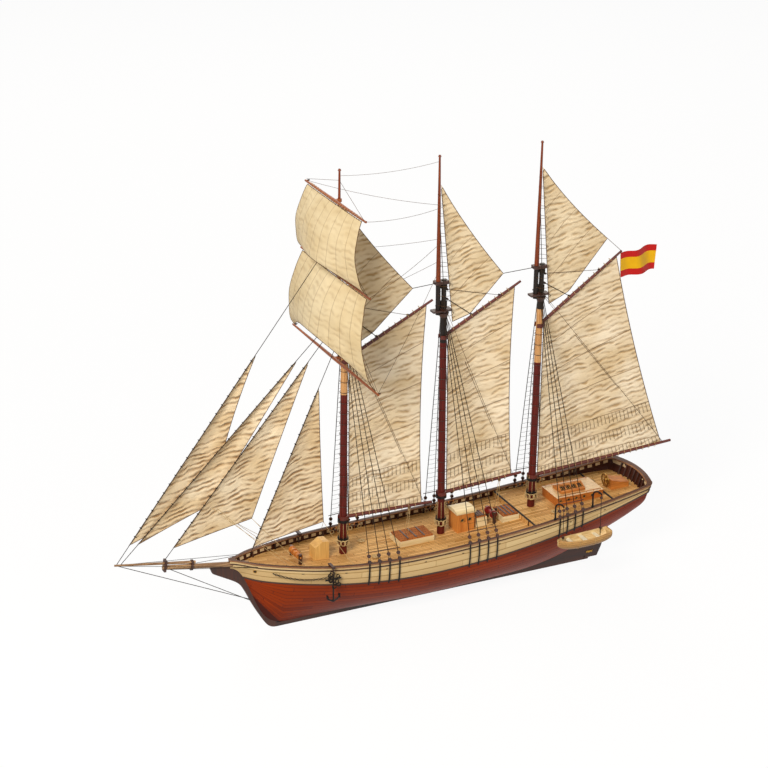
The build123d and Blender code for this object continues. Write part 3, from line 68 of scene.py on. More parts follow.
# ---------------------------------------------------------------- settings
class SchoonerSettings(bpy.types.PropertyGroup):
    """Sizes and amounts that the operators read"""

    sail_belly: bpy.props.FloatProperty(
        name="Sail belly", description="How far a gaff sail bellies to one side", default=0.006, unit="LENGTH")
    wrinkle: bpy.props.FloatProperty(
        name="Wrinkle height", description="Height of the folds in the cloth", default=0.0007, unit="LENGTH")
    ratline_pitch: bpy.props.FloatProperty(
        name="Ratline pitch", description="Distance between ratlines up the shrouds", default=0.0066,
        unit="LENGTH")
    hoop_pitch: bpy.props.FloatProperty(
        name="Hoop pitch", description="Distance between mast hoops", default=0.013, unit="LENGTH")
    reef_pitch: bpy.props.FloatProperty(
        name="Reef point pitch", description="Distance between reef points along a reef", default=0.0052,
        unit="LENGTH")
    rope_radius: bpy.props.FloatProperty(
        name="Rope radius", description="Radius of the running rigging", default=0.00032, unit="LENGTH")
    seed: bpy.props.IntProperty(
        name="Seed", description="Starting number for the small differences between like pieces", default=7,
        subtype="UNSIGNED")


# ---------------------------------------------------------------- shader nodes
def colour(text):
    """Linear colour from an sRGB hex text such as #A0451A"""
    values = [int(text[i:i + 2], 16) / 255 for i in (1, 3, 5)]
    linear = [v / 12.92 if v <= 0.04045 else ((v + 0.055) / 1.055) ** 2.4 for v in values]
    return (*linear, 1.0)


def add_node(tree, kind, inputs=None, **settings):
    """Adds a node, sets its properties, and sets or links its inputs"""
    node = tree.nodes.new(kind)
    for key, value in settings.items():
        setattr(node, key, value)
    for key, value in (inputs or {}).items():
        if isinstance(value, Number):
            value = value.socket
        if isinstance(value, bpy.types.NodeSocket):
            tree.links.new(value, node.inputs[key])
        else:
            node.inputs[key].default_value = value
    return node


def calc(operation, *values):
    """Result of a math node; one of the values at least is a Number"""
    tree = next(value.tree for value in values if isinstance(value, Number))
    node = add_node(tree, "ShaderNodeMath", dict(enumerate(values)), operation=operation)
    return Number(tree, node.outputs[0])


class Number:
    """A number in a shader. Arithmetic on it adds math nodes, so that a formula reads as one."""

    def __init__(self, tree, socket):
        self.tree = tree
        self.socket = socket

    def __add__(self, other):
        return calc("ADD", self, other)

    def __sub__(self, other):
        return calc("SUBTRACT", self, other)

    def __rsub__(self, other):
        return calc("SUBTRACT", other, self)

    def __mul__(self, other):
        return calc("MULTIPLY", self, other)

    def __truediv__(self, other):
        return calc("DIVIDE", self, other)

    def __pow__(self, other):
        return calc("POWER", self, other)

    def __gt__(self, other):
        return calc("GREATER_THAN", self, other)

    def __lt__(self, other):
        return calc("LESS_THAN", self, other)

    def ramp(self, stops, interpolation="LINEAR"):
        """Colour read from stops of (position, hex text)"""
        node = add_node(self.tree, "ShaderNodeValToRGB", {0: self})
        node.color_ramp.interpolation = interpolation
        elements = node.color_ramp.elements
        while len(elements) < len(stops):
            elements.new(0.5)
        for element, (position, text) in zip(elements, stops):
            element.position = position
            element.color = colour(text)
        return node.outputs[0]

    def tones(self, dark, light, low=0.3, high=0.7):
        """Colour from dark to light"""
        return self.ramp([(low, dark), (high, light)])

    def mix(self, a, b, mode="MIX"):
        """Colour a towards b by this number; a colour is a socket or a hex text"""
        a, b = (colour(c) if isinstance(c, str) else c for c in (a, b))
        node = add_node(self.tree, "ShaderNodeMix", {0: self, 6: a, 7: b}, data_type="RGBA", blend_type=mode)
        return node.outputs[2]


FINISHES = {}


class Surface:
    """A material in the making, kept in FINISHES by its name"""

    def __init__(self, name, roughness=0.5, metallic=0.0, coat=0.0, specular=0.5, sheen=0.0):
        self.material = FINISHES[name] = bpy.data.materials.new(name)
        self.material.use_nodes = True
        self.tree = self.material.node_tree
        self.shader = self.tree.nodes["Principled BSDF"]
        for socket, value in (("Roughness", roughness), ("Metallic", metallic), ("Coat Weight", coat),
                              ("Specular IOR Level", specular), ("Sheen Weight", sheen)):
            self.shader.inputs[socket].default_value = value

    def set(self, socket, value):
        """Links a colour or a number to an input of the shader"""
        self.tree.links.new(getattr(value, "socket", value), self.shader.inputs[socket])

    def place(self, scale=(1, 1, 1), turn=(0, 0, 0)):
        """Position in the object's own space, scaled and turned"""
        where = add_node(self.tree, "ShaderNodeTexCoord").outputs["Object"]
        inputs = {"Vector": where, "Scale": scale, "Rotation": turn}
        return add_node(self.tree, "ShaderNodeMapping", inputs).outputs[0]

    def split(self, vector):
        """The x, y and z of a vector as numbers"""
        parts = add_node(self.tree, "ShaderNodeSeparateXYZ", {0: vector})
        return [Number(self.tree, socket) for socket in parts.outputs]

    def axes(self):
        """Where a point lies in the object's own space"""
        return self.split(add_node(self.tree, "ShaderNodeTexCoord").outputs["Object"])

    def facing(self):
        """Which way a surface faces"""
        return self.split(add_node(self.tree, "ShaderNodeNewGeometry").outputs["Normal"])

    def sheet_place(self):
        """Where a point lies across and up a sheet of cloth, from 0 to 1"""
        return self.split(add_node(self.tree, "ShaderNodeTexCoord").outputs["UV"])[:2]

    def texture(self, kind, inputs, output="Fac", **settings):
        """The number that a texture node gives"""
        return Number(self.tree, add_node(self.tree, kind, inputs, **settings).outputs[output])

    def noise(self, scale, detail=2.0, turn=(0, 0, 0)):
        """Soft noise, with its fineness along each axis"""
        return self.texture("ShaderNodeTexNoise",
                            {"Vector": self.place(scale, turn), "Scale": 1.0, "Detail": detail})

    def grain(self, grain_mm, along=(1, 0, 0), stretch=0.03, detail=4.0):
        """Noise drawn out along the grain of wood"""
        fine = 1 / (grain_mm * MM)
        return self.noise([fine * (stretch if a else 1.0) for a in along], detail)

    def relief(self, height, distance_mm, strength=0.6, more=None):
        """Small relief from a height; more is the normal it adds to"""
        inputs = {"Height": height, "Distance": distance_mm * MM, "Strength": strength}
        if more is not None:
            inputs["Normal"] = more
        bump = add_node(self.tree, "ShaderNodeBump", inputs).outputs[0]
        self.set("Normal", bump)
        return bump


# ---------------------------------------------------------------- wood
def wood(name, dark, light, along=(1, 0, 0), grain_mm=0.7, roughness=0.5, coat=0.02):
    """Varnished wood. Streaks drawn out along the grain, and broader tone changes, keep a small part from
    looking like plain plastic."""
    surface = Surface(name, roughness, coat=coat)
    stretch = 0.035
    streaks = surface.grain(grain_mm, along, stretch)
    tone = surface.grain(grain_mm / 0.12, along, stretch, 2.0)
    surface.set("Base Color", (streaks * 0.55 + tone * 0.45).tones(dark, light, 0.34, 0.66))
    surface.set("Roughness", streaks * 0.2 + (roughness - 0.1))
    surface.relief(streaks, GRAIN_RELIEF_MM)


def hull_line(x, line):
    """Height of a hull line above each point's x, as the shipwright drew it: a parabola each side of its
    lowest point"""
    low_x, low_z, bow_rise, stern_rise = line
    bow = calc("MAXIMUM", low_x - x, 0.0) ** 2.0 * (bow_rise / (low_x - HULL_START) ** 2)
    stern = calc("MAXIMUM", x - low_x, 0.0) ** 2.0 * (stern_rise / (HULL_END - low_x) ** 2)
    return bow + stern + low_z


def to_edge(value):
    """Distance to the nearest whole number"""
    within = calc("FRACT", value)
    return calc("MINIMUM", within, 1.0 - within)


def planked(name, strake, count, dark, light, seam, butt_mm=95.0, seam_share=0.07, roughness=0.4, coat=0.1,
            tint=0.5, lining=None):
    """Planking. strake(x, y, z) grows by 1 over count planks, so each plank tapers with the hull. Every plank
    has its own tone, and dark seams and butts between them show that it was laid plank by plank. lining
    colours the inboard side, mostly with painted shade."""
    surface = Surface(name, roughness, coat=coat, specular=0.14)
    butt_gap_mm = 0.25
    row_shift, row_number = 0.381, 17.3  # neither repeats over the rows of one surface
    x, y, z = surface.axes()
    share = strake(x, y, z) * count
    row = calc("FLOOR", share)
    run = x / (butt_mm * MM) + calc("FRACT", row * row_shift)
    plank = row * row_number + calc("FLOOR", run)
    chance = surface.texture("ShaderNodeTexWhiteNoise", {"W": plank}, "Value", noise_dimensions="1D")
    grain = surface.grain(0.6)
    broad = surface.noise((9, 24, 24))
    mixed = chance * tint + grain * ((1 - tint) * 0.6) + broad * ((1 - tint) * 0.5)
    gap = calc("MAXIMUM", to_edge(share) < seam_share, to_edge(run) < butt_gap_mm / butt_mm)
    base = gap.mix(mixed.tones(dark, light, 0.18, 0.75), seam)
    if lining is not None:
        ahead, outward, _ = surface.facing()
        # the inboard side takes its painted shade from lining
        inboard = outward * calc("SIGN", y) + ahead * 0.25 < -0.15  # ahead covers the transom
        base = inboard.mix(base, lining(x, z, grain))
    surface.set("Base Color", base)
    surface.relief(grain * 0.25 - gap, 0.12, 0.7)


def painted_shade_lining(x, z, grain):
    """Painted shade on the inboard face of the planking, which lies in shade"""
    return grain.tones("#2A120B", "#4A2315")


def bulwark_shade_and_ports(x, z, grain):
    """Painted shade on the bulwarks' inboard face, with a row of pale wash ports low down"""
    pitch_mm = 11.0
    top_mm, foot_mm = 1.6, 5.2  # below the sheer
    run = calc("FRACT", x / (pitch_mm * MM))
    depth = hull_line(x, SHEER) - z
    port = (run > 0.3) * (run < 0.86) * (depth > top_mm * MM) * (depth < foot_mm * MM)
    return port.mix(painted_shade_lining(x, z, grain), grain.tones("#B9A07C", "#E2CDA4"))


def bottom_strakes(x, y, z):
    """0 at the keel and 1 at the wale"""
    forefoot_x, forefoot_slope = -0.215, 1.25
    counter_x, counter_rise = 0.1, 0.071
    keel_z = 0.004
    forefoot = calc("MAXIMUM", forefoot_x - x, 0.0) * forefoot_slope
    counter = calc("MAXIMUM", x - counter_x, 0.0) ** 2.0 * (counter_rise / (HULL_END - counter_x) ** 2)
    floor = forefoot + counter + keel_z
    return calc("MAXIMUM", (z - floor) / (hull_line(x, WALE) - floor), 0.0) ** 0.8


def top_strakes(x, y, z):
    """0 at the wale and 1 at the rail"""
    low = hull_line(x, WALE)
    return (z - low) / (hull_line(x, SHEER) - low)


def fore_and_aft(x, y, z):
    """Planks of a deck or a lid lie side by side: 1 is 100 mm of beam, and all of it stays above 0"""
    return y * 10.0 + 5.0


def mast_paint(name, *bands):
    """Mast finish. bands are (height in mm up to which it holds, dark, light): red-stained wood low down, a
    bare pale stretch, then black at the doubling, so that the masts read in sections."""
    surface = Surface(name, coat=0.03, specular=0.25)
    grain = surface.grain(0.8, (0, 0, 1))
    z = surface.axes()[2]
    base = grain.tones(*bands[0][1:])
    for (below_mm, _, _), (_, dark, light) in zip(bands, bands[1:]):
        base = (z > below_mm * MM).mix(base, grain.tones(dark, light))
    surface.set("Base Color", base)
    surface.relief(grain, 0.05)


def rail_wood(name):
    """Cap rail. The flat top is painted dark and the narrow moulded edge pale, told apart by which way each
    faces: painted shade on the top and a painted highlight on the edge, which draws the sheer line."""
    surface = Surface(name, 0.6, specular=0.3)
    grain = surface.grain(0.6, stretch=0.04)
    # painted light: upward faces take the dark shade tones, the edge the pale highlight tones
    upward = surface.facing()[2] > 0.6
    surface.set("Base Color", upward.mix(grain.tones("#7A5236", "#A87C58"), grain.tones("#3A2014", "#5E3A26")))
    surface.relief(grain, GRAIN_RELIEF_MM)


def cabin_joinery(name):
    """Deckhouse joinery. Varnished orange walls carry a roof of bare scrubbed planks, told apart by which way
    a surface faces, so the house reads as a warm box under a pale lid."""
    surface = Surface(name, 0.45, coat=0.1)
    grain = surface.grain(0.7, stretch=0.04)
    plank_mm = 3.6
    seam = calc("FRACT", surface.axes()[1] / (plank_mm * MM)) < 0.1
    roof = seam.mix(grain.tones("#B98E54", "#E3C48E"), "#7A5228")
    upward = surface.facing()[2] > 0.7
    surface.set("Base Color", upward.mix(grain.tones("#8E4412", "#CE7A2C"), roof))
    surface.relief(grain, GRAIN_RELIEF_MM)


def boat_paint(name):
    """Ship's boat. Oiled strakes outside and bare pale wood inside, told apart by which way the surface
    faces."""
    low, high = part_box("ship_boat")
    middle = (low + high) / 2
    surface = Surface(name, coat=0.05)
    _, y, z = surface.axes()
    _, facing_y, facing_z = surface.facing()
    strake_mm = 1 / 0.38
    hollow_z = middle.z + 0.004
    outside = (y - middle.y) * facing_y + (z - hollow_z) * facing_z > 0.0
    seam = calc("FRACT", z / (strake_mm * MM)) < 0.14
    grain = surface.noise((60, 1400, 1400), 3.0)
    strakes = seam.mix(grain.tones("#9A7038", "#C79C5C"), "#6E4A22")
    surface.set("Base Color", outside.mix(grain.tones("#C9A66B", "#EBD6A6"), strakes))
    surface.relief(grain, GRAIN_RELIEF_MM)


# ---------------------------------------------------------------- cloth, cord and metal
def cloth(name, dark, light, line, lines=(), seams=0, turn=0.24, ripple_mm=6.6, strength=0.8):
    """Sailcloth. Long wavy ripples lie across it as in cotton that has been starched and dried, and their
    hollows are coloured towards line as painted shade; a fine weave breaks up the highlights, and bands across
    and seams up the sail show how its cloths were sewn."""
    surface = Surface(name, 0.9, specular=0.12, sheen=0.1)
    slant = (0, turn, 0)
    wander = 13.0  # how far a ripple strays from a straight line, in radians
    calm = 0.36  # noise below this leaves the cloth smooth
    stitch = 0.0028  # half a band's width, as a share of the sail
    up = surface.split(surface.place((1, 1, 1), slant))[2]
    phase = surface.noise((48, 48, 34), 2.0, slant) * wander + up * (2 * math.pi / (ripple_mm * MM))
    wave = calc("SINE", phase) * 0.5 + 0.5
    patchy = calc("MAXIMUM", surface.noise((62, 62, 120), 2.0, slant) - calm, 0.0) * 3.4
    depth = calc("MINIMUM", wave ** 1.4 * patchy, 1.0)
    tone = surface.noise((16, 16, 24)).tones(dark, light, 0.35, 0.65)
    # painted shade: the ripples' hollows are coloured towards line
    base = (depth * strength).mix(tone, line)
    across, height = surface.sheet_place()
    marks = [calc("ABSOLUTE", height - level) < stitch for level in lines]
    if seams:
        marks.append((calc("FRACT", across * float(seams)) < 0.07) * 0.55)
    if marks:
        base = (reduce(lambda a, b: calc("MAXIMUM", a, b), marks) * 0.6).mix(base, "#7A5B3C")
    surface.set("Base Color", base)
    weave_mm = 0.25
    weave = surface.noise([1 / (weave_mm * MM)] * 3, 1.0)
    ripples = surface.relief(1.0 - depth, 1.4, strength)
    surface.relief(weave, 0.04, 0.5, ripples)


def flag_cloth(name):
    """Plain flag of three stripes with no arms on it: bright dyed cotton with soft shading in its waves."""
    surface = Surface(name, 0.8, specular=0.2, sheen=0.2)
    height = surface.sheet_place()[1]
    stripes = height.ramp([(0.0, "#C01818"), (0.26, "#E9B80C"), (0.74, "#C01818")], "CONSTANT")
    shade = surface.noise((60, 60, 60)) * 0.25
    surface.set("Base Color", shade.mix(stripes, "#7A3A10", "MULTIPLY"))
    surface.relief(surface.noise([3500] * 3), 0.03)


def cord_finish(name, dark, light):
    """Laid cord. Slanting strands give it a rope's twist close to, and an uneven tone from afar."""
    surface = Surface(name, 0.8, specular=0.25)
    lay_mm = 0.9
    inputs = {"Vector": surface.place([1 / (lay_mm * MM)] * 3), "Scale": 0.5, "Distortion": 1.5}
    twist = surface.texture("ShaderNodeTexWave", inputs, bands_direction="DIAGONAL")
    surface.set("Base Color", twist.tones(dark, light, 0.2, 0.8))
    surface.relief(twist, 0.08)


def metal(name, dark, light, roughness=0.4, metallic=1.0):
    """Cast or bent metal. Blotches of tarnish and a little roughness change keep it from looking machined."""
    surface = Surface(name, roughness, metallic)
    blotch = surface.noise([420] * 3, 4.0)
    surface.set("Base Color", blotch.tones(dark, light, 0.35, 0.65))
    surface.set("Roughness", blotch * 0.3 + (roughness - 0.12))
    surface.relief(blotch, 0.05)


def pane_finish(name):
    """Skylight panes painted dark as the shade inside the cabin, and glossy, so that the empty cabin behind
    them stays hidden.
    """
    surface = Surface(name, 0.22, coat=0.5)
    # dark tones: painted shade of the cabin inside
    surface.set("Base Color", surface.noise([300] * 3).tones("#2A160C", "#4A2C18"))


UPRIGHT = {"along": (0, 0, 1)}
WOODS = (
    ("walnut", "#1E0D08", "#45200F", {}),
    ("walnut upright", "#1E0D08", "#45200F", UPRIGHT),
    ("stained pine", "#8E4A16", "#D98C3C", {}),
    ("stained pine upright", "#9A4F18", "#DC9242", UPRIGHT),
    ("bare lime", "#CDB27C", "#F0E2BC", {}),
    ("bare lime upright", "#B98842", "#E2B86E", UPRIGHT),
    ("bleached wood", "#DCCFAE", "#F4ECD4", {}),
    ("plywood", "#A97F4C", "#D2AE78", {"grain_mm": 1.2, "coat": 0.0, "roughness": 0.7}),
    ("spar", "#3A0F09", "#66200F", {}),
    ("weathered spar", "#5E3C24", "#B08E66", {"grain_mm": 1.4}),
    ("spar athwart", "#642C12", "#A85C28", {"along": (0, 1, 0)}),
    # near black, painted as shade: in holes, behind port glass and at the deck steps
    ("painted shade black", "#0E0705", "#1E100A", {"coat": 0.0, "roughness": 0.8}),
)


def make_finishes():
    """Makes every material"""
    red = ("#380B06", "#66180C")
    tan = ("#B07A48", "#D9AC77")
    black = ("#0D0A08", "#241A14")
    truck_mm = 1000  # above every mast
    planked("mahogany planking", bottom_strakes, 13, "#611B03", "#9E3A08", "#421205", seam_share=0.05, tint=0.3,
            coat=0.0, roughness=0.5, lining=painted_shade_lining)
    planked("lime planking", top_strakes, 3, "#C6A674", "#E2CC9C", "#A98A58", tint=0.3, coat=0.05,
            lining=bulwark_shade_and_ports)
    planked("deck planking", fore_and_aft, 28, "#AE7A3C", "#DDB070", "#5E3C1C", butt_mm=55, roughness=0.6,
            coat=0.0)
    planked("hatch lid", fore_and_aft, 40, "#8A4A1E", "#B56B30", "#4A220E", butt_mm=6.5, coat=0.0,
            roughness=0.7)
    for name, dark, light, more in WOODS:
        wood(name, dark, light, **more)
    rail_wood("rail")
    cabin_joinery("cabin joinery")
    boat_paint("boat paint")
    mast_paint("fore mast", (286, *red), (352, *tan), (truck_mm, *black))
    mast_paint("main mast", (330, *red), (truck_mm, *black))
    mast_paint("mizzen mast", (283, *red), (352, *tan), (truck_mm, *black))
    mast_paint("topmast", (404, *black), (truck_mm, "#5A2413", "#8A4222"))
    # the third colour of each cloth is the painted shade in its ripples' hollows
    cloth("sailcloth", "#DECAA6", "#F6EAD2", "#AB895A", (*REEF_ROWS, 0.42, 0.62, 0.82))
    cloth("topsail cloth", "#D6C29E", "#EDDFC2", "#A5824F", (0.18, 0.42, 0.66))
    cloth("jib cloth", "#DCC59E", "#F4E6CA", "#9C7548", turn=0.16, ripple_mm=6.2, strength=0.9)
    cloth("square cloth", "#DCC9A0", "#EBDCB8", "#B59A70", seams=9, strength=0.35)
    flag_cloth("flag cloth")
    cord_finish("tarred cord", "#120D09", "#30241A")
    cord_finish("brown cord", "#3B2818", "#6E4E30")
    cord_finish("manila cord", "#9A7A4C", "#D8BE8C")
    metal("blackened iron", "#0B0A09", "#262220", 0.45, 0.6)
    metal("aged brass", "#6A4A1C", "#C79A4C", 0.36)
    metal("red paint", "#5A0D0A", "#8C1A14", 0.4, 0.0)
    pane_finish("shade-dark pane")


# The CAD nodes that take each finish; a node in no row is a sail
NODES_OF_FINISH = {
    "mahogany planking": "hull_planking",
    "lime planking": "bulwarks",
    "deck planking": "main_deck quarter_deck",
    "hatch lid": "hatch_covers",
    "walnut": "keel sternpost wales catheads crosstrees_and_caps deadeyes",
    "walnut upright": "stem rudder bulwark_stanchions bitts",
    "plywood": "spine bulkheads",
    "rail": "cap_rail",
    "blackened iron": "chainplates davits anchors mast_bands",
    "aged brass": "gudgeons steering_wheel",
    "bare lime": "hatch_coamings deckhouse_roof",
    "bare lime upright": "companionway",
    "stained pine": "skylight windlass_barrel wheel_box",
    "stained pine upright": "deckhouse",
    "cabin joinery": "after_cabin",
    "shade-dark pane": "skylight_panes",
    "red paint": "winch_barrel",
    "boat paint": "ship_boat",
    "bleached wood": "boat_thwarts",
    "weathered spar": "bowsprit jibboom",
    "fore mast": "fore_mast",
    "main mast": "main_mast",
    "mizzen mast": "mizzen_mast",
    "topmast": "fore_topmast main_topmast mizzen_topmast",
    "tarred cord": "shrouds stays",
    "spar": "fore_boom main_boom mizzen_boom fore_gaff main_gaff mizzen_gaff",
    "spar athwart": "yards",
}


# ---------------------------------------------------------------- frame tools
def islands(node):
    """The separate solids of a CAD node, each as a list of points"""
    mesh = bmesh.new()
    mesh.from_mesh(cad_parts[node].data)
    bmesh.ops.remove_doubles(mesh, verts=mesh.verts, dist=1e-6)
    seen = set()
    found = []
    for start in mesh.verts:
        if start in seen:
            continue
        seen.add(start)
        stack = [start]
        points = []
        while stack:
            vert = stack.pop()
            points.append(vert.co.copy())
            for edge in vert.link_edges:
                other = edge.other_vert(vert)
                if other not in seen:
                    seen.add(other)
                    stack.append(other)
        found.append(points)
    mesh.free()
    return found


def bow_to_stern(node):
    """The solids of a CAD node in order along the ship"""
    return sorted(islands(node), key=lambda points: sum(p.x for p in points) / len(points))


def top_down(node):
    """The solids of a CAD node in order from the highest"""
    return sorted(islands(node), key=lambda points: -max(p.z for p in points))


def frame_points(node):
    """Every vertex of a CAD node"""
    return [v.co.copy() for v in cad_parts[node].data.vertices]


def farthest(points, direction):
    """The point that lies furthest in a direction"""
    return max(points, key=lambda p: p.dot(Vector(direction)))


def centre_line(points):
    """Foot and head of the centre line of a long solid"""
    end_depth = 0.0012
    levels = [p.z for p in points]
    ends = []
    for level in (min(levels), max(levels)):
        near = [p for p in points if abs(p.z - level) < end_depth]
        ends.append(sum(near, Vector()) / len(near))
    return ends


def mast_axis(mast):
    """Foot and head of a lower mast's centre line"""
    return centre_line(islands(mast + "_mast")[0])


def axis_at(ends, z):
    """Point on a line between two ends at a height"""
    foot, head = ends
    return foot.lerp(head, (z - foot.z) / (head.z - foot.z))


def shroud_lines():
    """The long shrouds as (foot, head), in order along each side of each mast"""
    lines = []
    for points in islands("shrouds"):
        levels = [p.z for p in points]
        if max(levels) - min(levels) >= LONG_SHROUD:
            lines.append(centre_line(points))
    groups = {}
    crosstrees_z = 0.36
    for mast in MASTS:
        x = axis_at(mast_axis(mast), crosstrees_z).x
        for side, _ in SIDES:
            found = [line for line in lines if abs(line[1].x - x) < 0.02 and line[0].y * side > 0]
            groups[(mast, side)] = sorted(found, key=lambda line: line[0].x)
    return groups


TREES = {}


def tree_of(node):
    """Ray tool for a CAD node, made once"""
    if node not in TREES:
        mesh = bmesh.new()
        mesh.from_mesh(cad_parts[node].data)
        TREES[node] = BVHTree.FromBMesh(mesh)
        mesh.free()
    return TREES[node]


def rail_point(x, side, rise=0.0):
    """Point on the inner edge of the cap rail's top"""
    found = None
    outside_y, step, above_z = 0.066, 0.0005, 0.2
    for k in range(140):
        above = Vector((x, side * (outside_y - k * step), above_z))
        hit = tree_of("cap_rail").ray_cast(above, Vector((0, 0, -1)))[0]
        if hit is None and found is not None:
            break
        found = hit
    if found is None:
        raise RuntimeError("no cap rail near x = " + str(x))
    return found + Vector((0, 0, rise))


def side_point(x, z, side):
    """Where the bulwark's outside lies at x and z, and which way it faces; None twice where it is missing"""
    outboard = 0.1
    return tree_of("bulwarks").ray_cast(Vector((x, side * outboard, z)), Vector((0, -side, 0)))[:2]


# ---------------------------------------------------------------- mesh tools
def tube(mesh, points, radius, sides=6, closed=False):
    """Adds a round tube along points to a mesh"""
    count = len(points)
    rings = []
    normal = None
    for i, point in enumerate(points):
        before = points[i - 1] if i or closed else point
        after = points[(i + 1) % count] if i < count - 1 or closed else point
        along = (after - before).normalized()
        if normal is None:
            normal = along.orthogonal().normalized()
        normal = (normal - along * normal.dot(along)).normalized()
        side = along.cross(normal)
        turns = [2 * math.pi * k / sides for k in range(sides)]
        rings.append([mesh.verts.new(point + (normal * math.cos(t) + side * math.sin(t)) * radius)
                      for t in turns])
    pairs = list(zip(rings, rings[1:]))
    if closed:
        pairs.append((rings[-1], rings[0]))
    for a, b in pairs:
        for k in range(sides):
            mesh.faces.new((a[k], a[(k + 1) % sides], b[(k + 1) % sides], b[k]))
    if not closed:
        mesh.faces.new(list(reversed(rings[0])))
        mesh.faces.new(rings[-1])


def ring(mesh, centre, axis, radius, thickness, turns=14, sides=6):
    """Adds a torus to a mesh"""
    axis = Vector(axis).normalized()
    first = axis.orthogonal().normalized()
    second = axis.cross(first)
    points = [centre + (first * math.cos(t) + second * math.sin(t)) * radius
              for t in (2 * math.pi * k / turns for k in range(turns))]
    tube(mesh, points, thickness, sides, closed=True)


def coil(mesh, centre, axis, radius, thickness, turns, chance):
    """Adds a hank of rope: several loose rings side by side"""
    axis = Vector(axis).normalized()
    for k in range(turns):
        shift = axis * ((k - turns / 2) * thickness * 1.5)
        size = radius * chance.uniform(0.86, 1.08)
        lean = Vector((chance.uniform(-0.18, 0.18), chance.uniform(-0.18, 0.18), chance.uniform(-0.1, 0.1)))
        ring(mesh, centre + shift, axis + lean, size, thickness, 14, 5)


def disc(mesh, segments, radius, spot):
    """Adds a flat round to a mesh; spot turns a point of a level one into its place"""
    made = bmesh.ops.create_circle(mesh, cap_ends=True, segments=segments, radius=radius)
    for vert in made["verts"]:
        vert.co = spot(vert.co)


def sagging(start, end, sag, count=10):
    """Points of a slack rope between two ends"""
    line = []
    for i in range(count + 1):
        t = i / count
        line.append(start.lerp(end, t) - Vector((0, 0, sag * 4 * t * (1 - t))))
    return line


def pulley(mesh, centre, axis, size):
    """Adds a wooden block: two rounded cheeks with a strop round both"""
    axis = Vector(axis).normalized()
    side = axis.orthogonal().normalized()
    basis = Matrix((side, axis.cross(side), axis)).transposed()
    for offset in (-0.24, 0.24):
        shape = bmesh.ops.create_uvsphere(mesh, u_segments=10, v_segments=6, radius=size)
        for vert in shape["verts"]:
            local = Vector((vert.co.x * 0.26 + offset * size, vert.co.y * 0.72, vert.co.z))
            vert.co = centre + basis @ local
    ring(mesh, centre, side, size * 0.92, size * 0.13, 12, 5)


def rounded_box(mesh, low, high, bevel):
    """Adds a box with eased edges to a mesh"""
    size = high - low
    made = bmesh.ops.create_cube(mesh, size=1.0)
    for vert in made["verts"]:
        vert.co = Vector((vert.co.x * size.x, vert.co.y * size.y, vert.co.z * size.z)) + (low + high) / 2
    edges = {edge for vert in made["verts"] for edge in vert.link_edges}
    bmesh.ops.bevel(mesh, geom=list(edges), offset=bevel, segments=2, affect="EDGES", profile=0.5)


def finish_mesh(name, mesh, finish, body, smooth=True):
    """Makes an object of a mesh, gives it a finish and a slot, and lets it ride on a body if there is one"""
    data = bpy.data.meshes.new(name)
    mesh.to_mesh(data)
    mesh.free()
    for polygon in data.polygons:
        polygon.use_smooth = smooth
    piece = bpy.data.objects.new(name, data)
    bpy.context.scene.collection.objects.link(piece)
    data.materials.append(FINISHES[finish])
    if body is not None:
        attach(piece, body)
    return piece


def rope(name, points, radius, body, finish="brown cord", far_body=None):
    """A rope that rides on one body, or, when it runs to a far body, on none"""
    mesh = bmesh.new()
    tube(mesh, points, radius)
    piece = finish_mesh(name, mesh, finish, None if far_body else body)
    if far_body:
        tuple(points[0])
        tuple(points[-1])
        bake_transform(piece)
    return piece


# ---------------------------------------------------------------- sails
def cloth_grid(name, finish, rows, columns, point_at, body):
    """A sheet of cloth whose point at (across, up) is given by point_at"""
    mesh = bmesh.new()
    layer = mesh.loops.layers.uv.new("UVMap")
    grid = [[mesh.verts.new(point_at(j / columns, i / rows)) for j in range(columns + 1)]
            for i in range(rows + 1)]
    for i in range(rows):
        for j in range(columns):
            face = mesh.faces.new((grid[i][j], grid[i][j + 1], grid[i + 1][j + 1], grid[i + 1][j]))
            for loop, (a, b) in zip(face.loops, ((j, i), (j + 1, i), (j + 1, i + 1), (j, i + 1))):
                loop[layer].uv = (a / columns, b / rows)
    return finish_mesh(name, mesh, finish, body)


def round_edge(sail_point, wide, tall):
    """Points round the edge of a four-sided sail"""
    edge = [sail_point(u / wide, 0) for u in range(wide)] + [sail_point(1, v / tall) for v in range(tall)]
    edge += [sail_point(1 - u / wide, 1) for u in range(wide)]
    return edge + [sail_point(0, 1 - v / tall) for v in range(tall)]


def boltrope(name, edge, radius, body):
    """Rope sewn round the edge of a sail"""
    mesh = bmesh.new()
    tube(mesh, edge, radius, 6, closed=True)
    return finish_mesh(name + "_boltrope", mesh, "brown cord", body)


def crease(point, height, turn, seed):
    """Height of the cloth's folds at a point: long soft wrinkles that run on a slant"""
    along = point.x * math.cos(turn) + point.z * math.sin(turn)
    up = -point.x * math.sin(turn) + point.z * math.cos(turn)
    return height * noise.noise(Vector((along * 45 + seed, up * 130, seed * 3.1)), noise_basis="PERLIN_NEW")


def flat_area(points):
    """Area of a flat outline"""
    total = Vector((0, 0, 0))
    for a, b in zip(points[1:], points[2:]):
        total += (a - points[0]).cross(b - points[0])
    return total.length / 2


def declare_sheet(piece, outline, rests_on):
    """Works out the sides of the smallest rectangle round a sail and its area, but keeps neither"""
    along = (outline[1] - outline[0]).normalized()
    up = (outline[-1] - outline[0]) - along * (outline[-1] - outline[0]).dot(along)
    up.normalize()
    choices = []
    for k in range(36):
        turn = math.pi * k / 36
        one = along * math.cos(turn) + up * math.sin(turn)
        two = up * math.cos(turn) - along * math.sin(turn)
        sides = [max(p.dot(way) for p in outline) - min(p.dot(way) for p in outline) for way in (one, two)]
        choices.append((sides[0] * sides[1], sides))
    flat = min(choices)[1]
    area = flat_area(outline)
    min(area, flat[0] * flat[1])


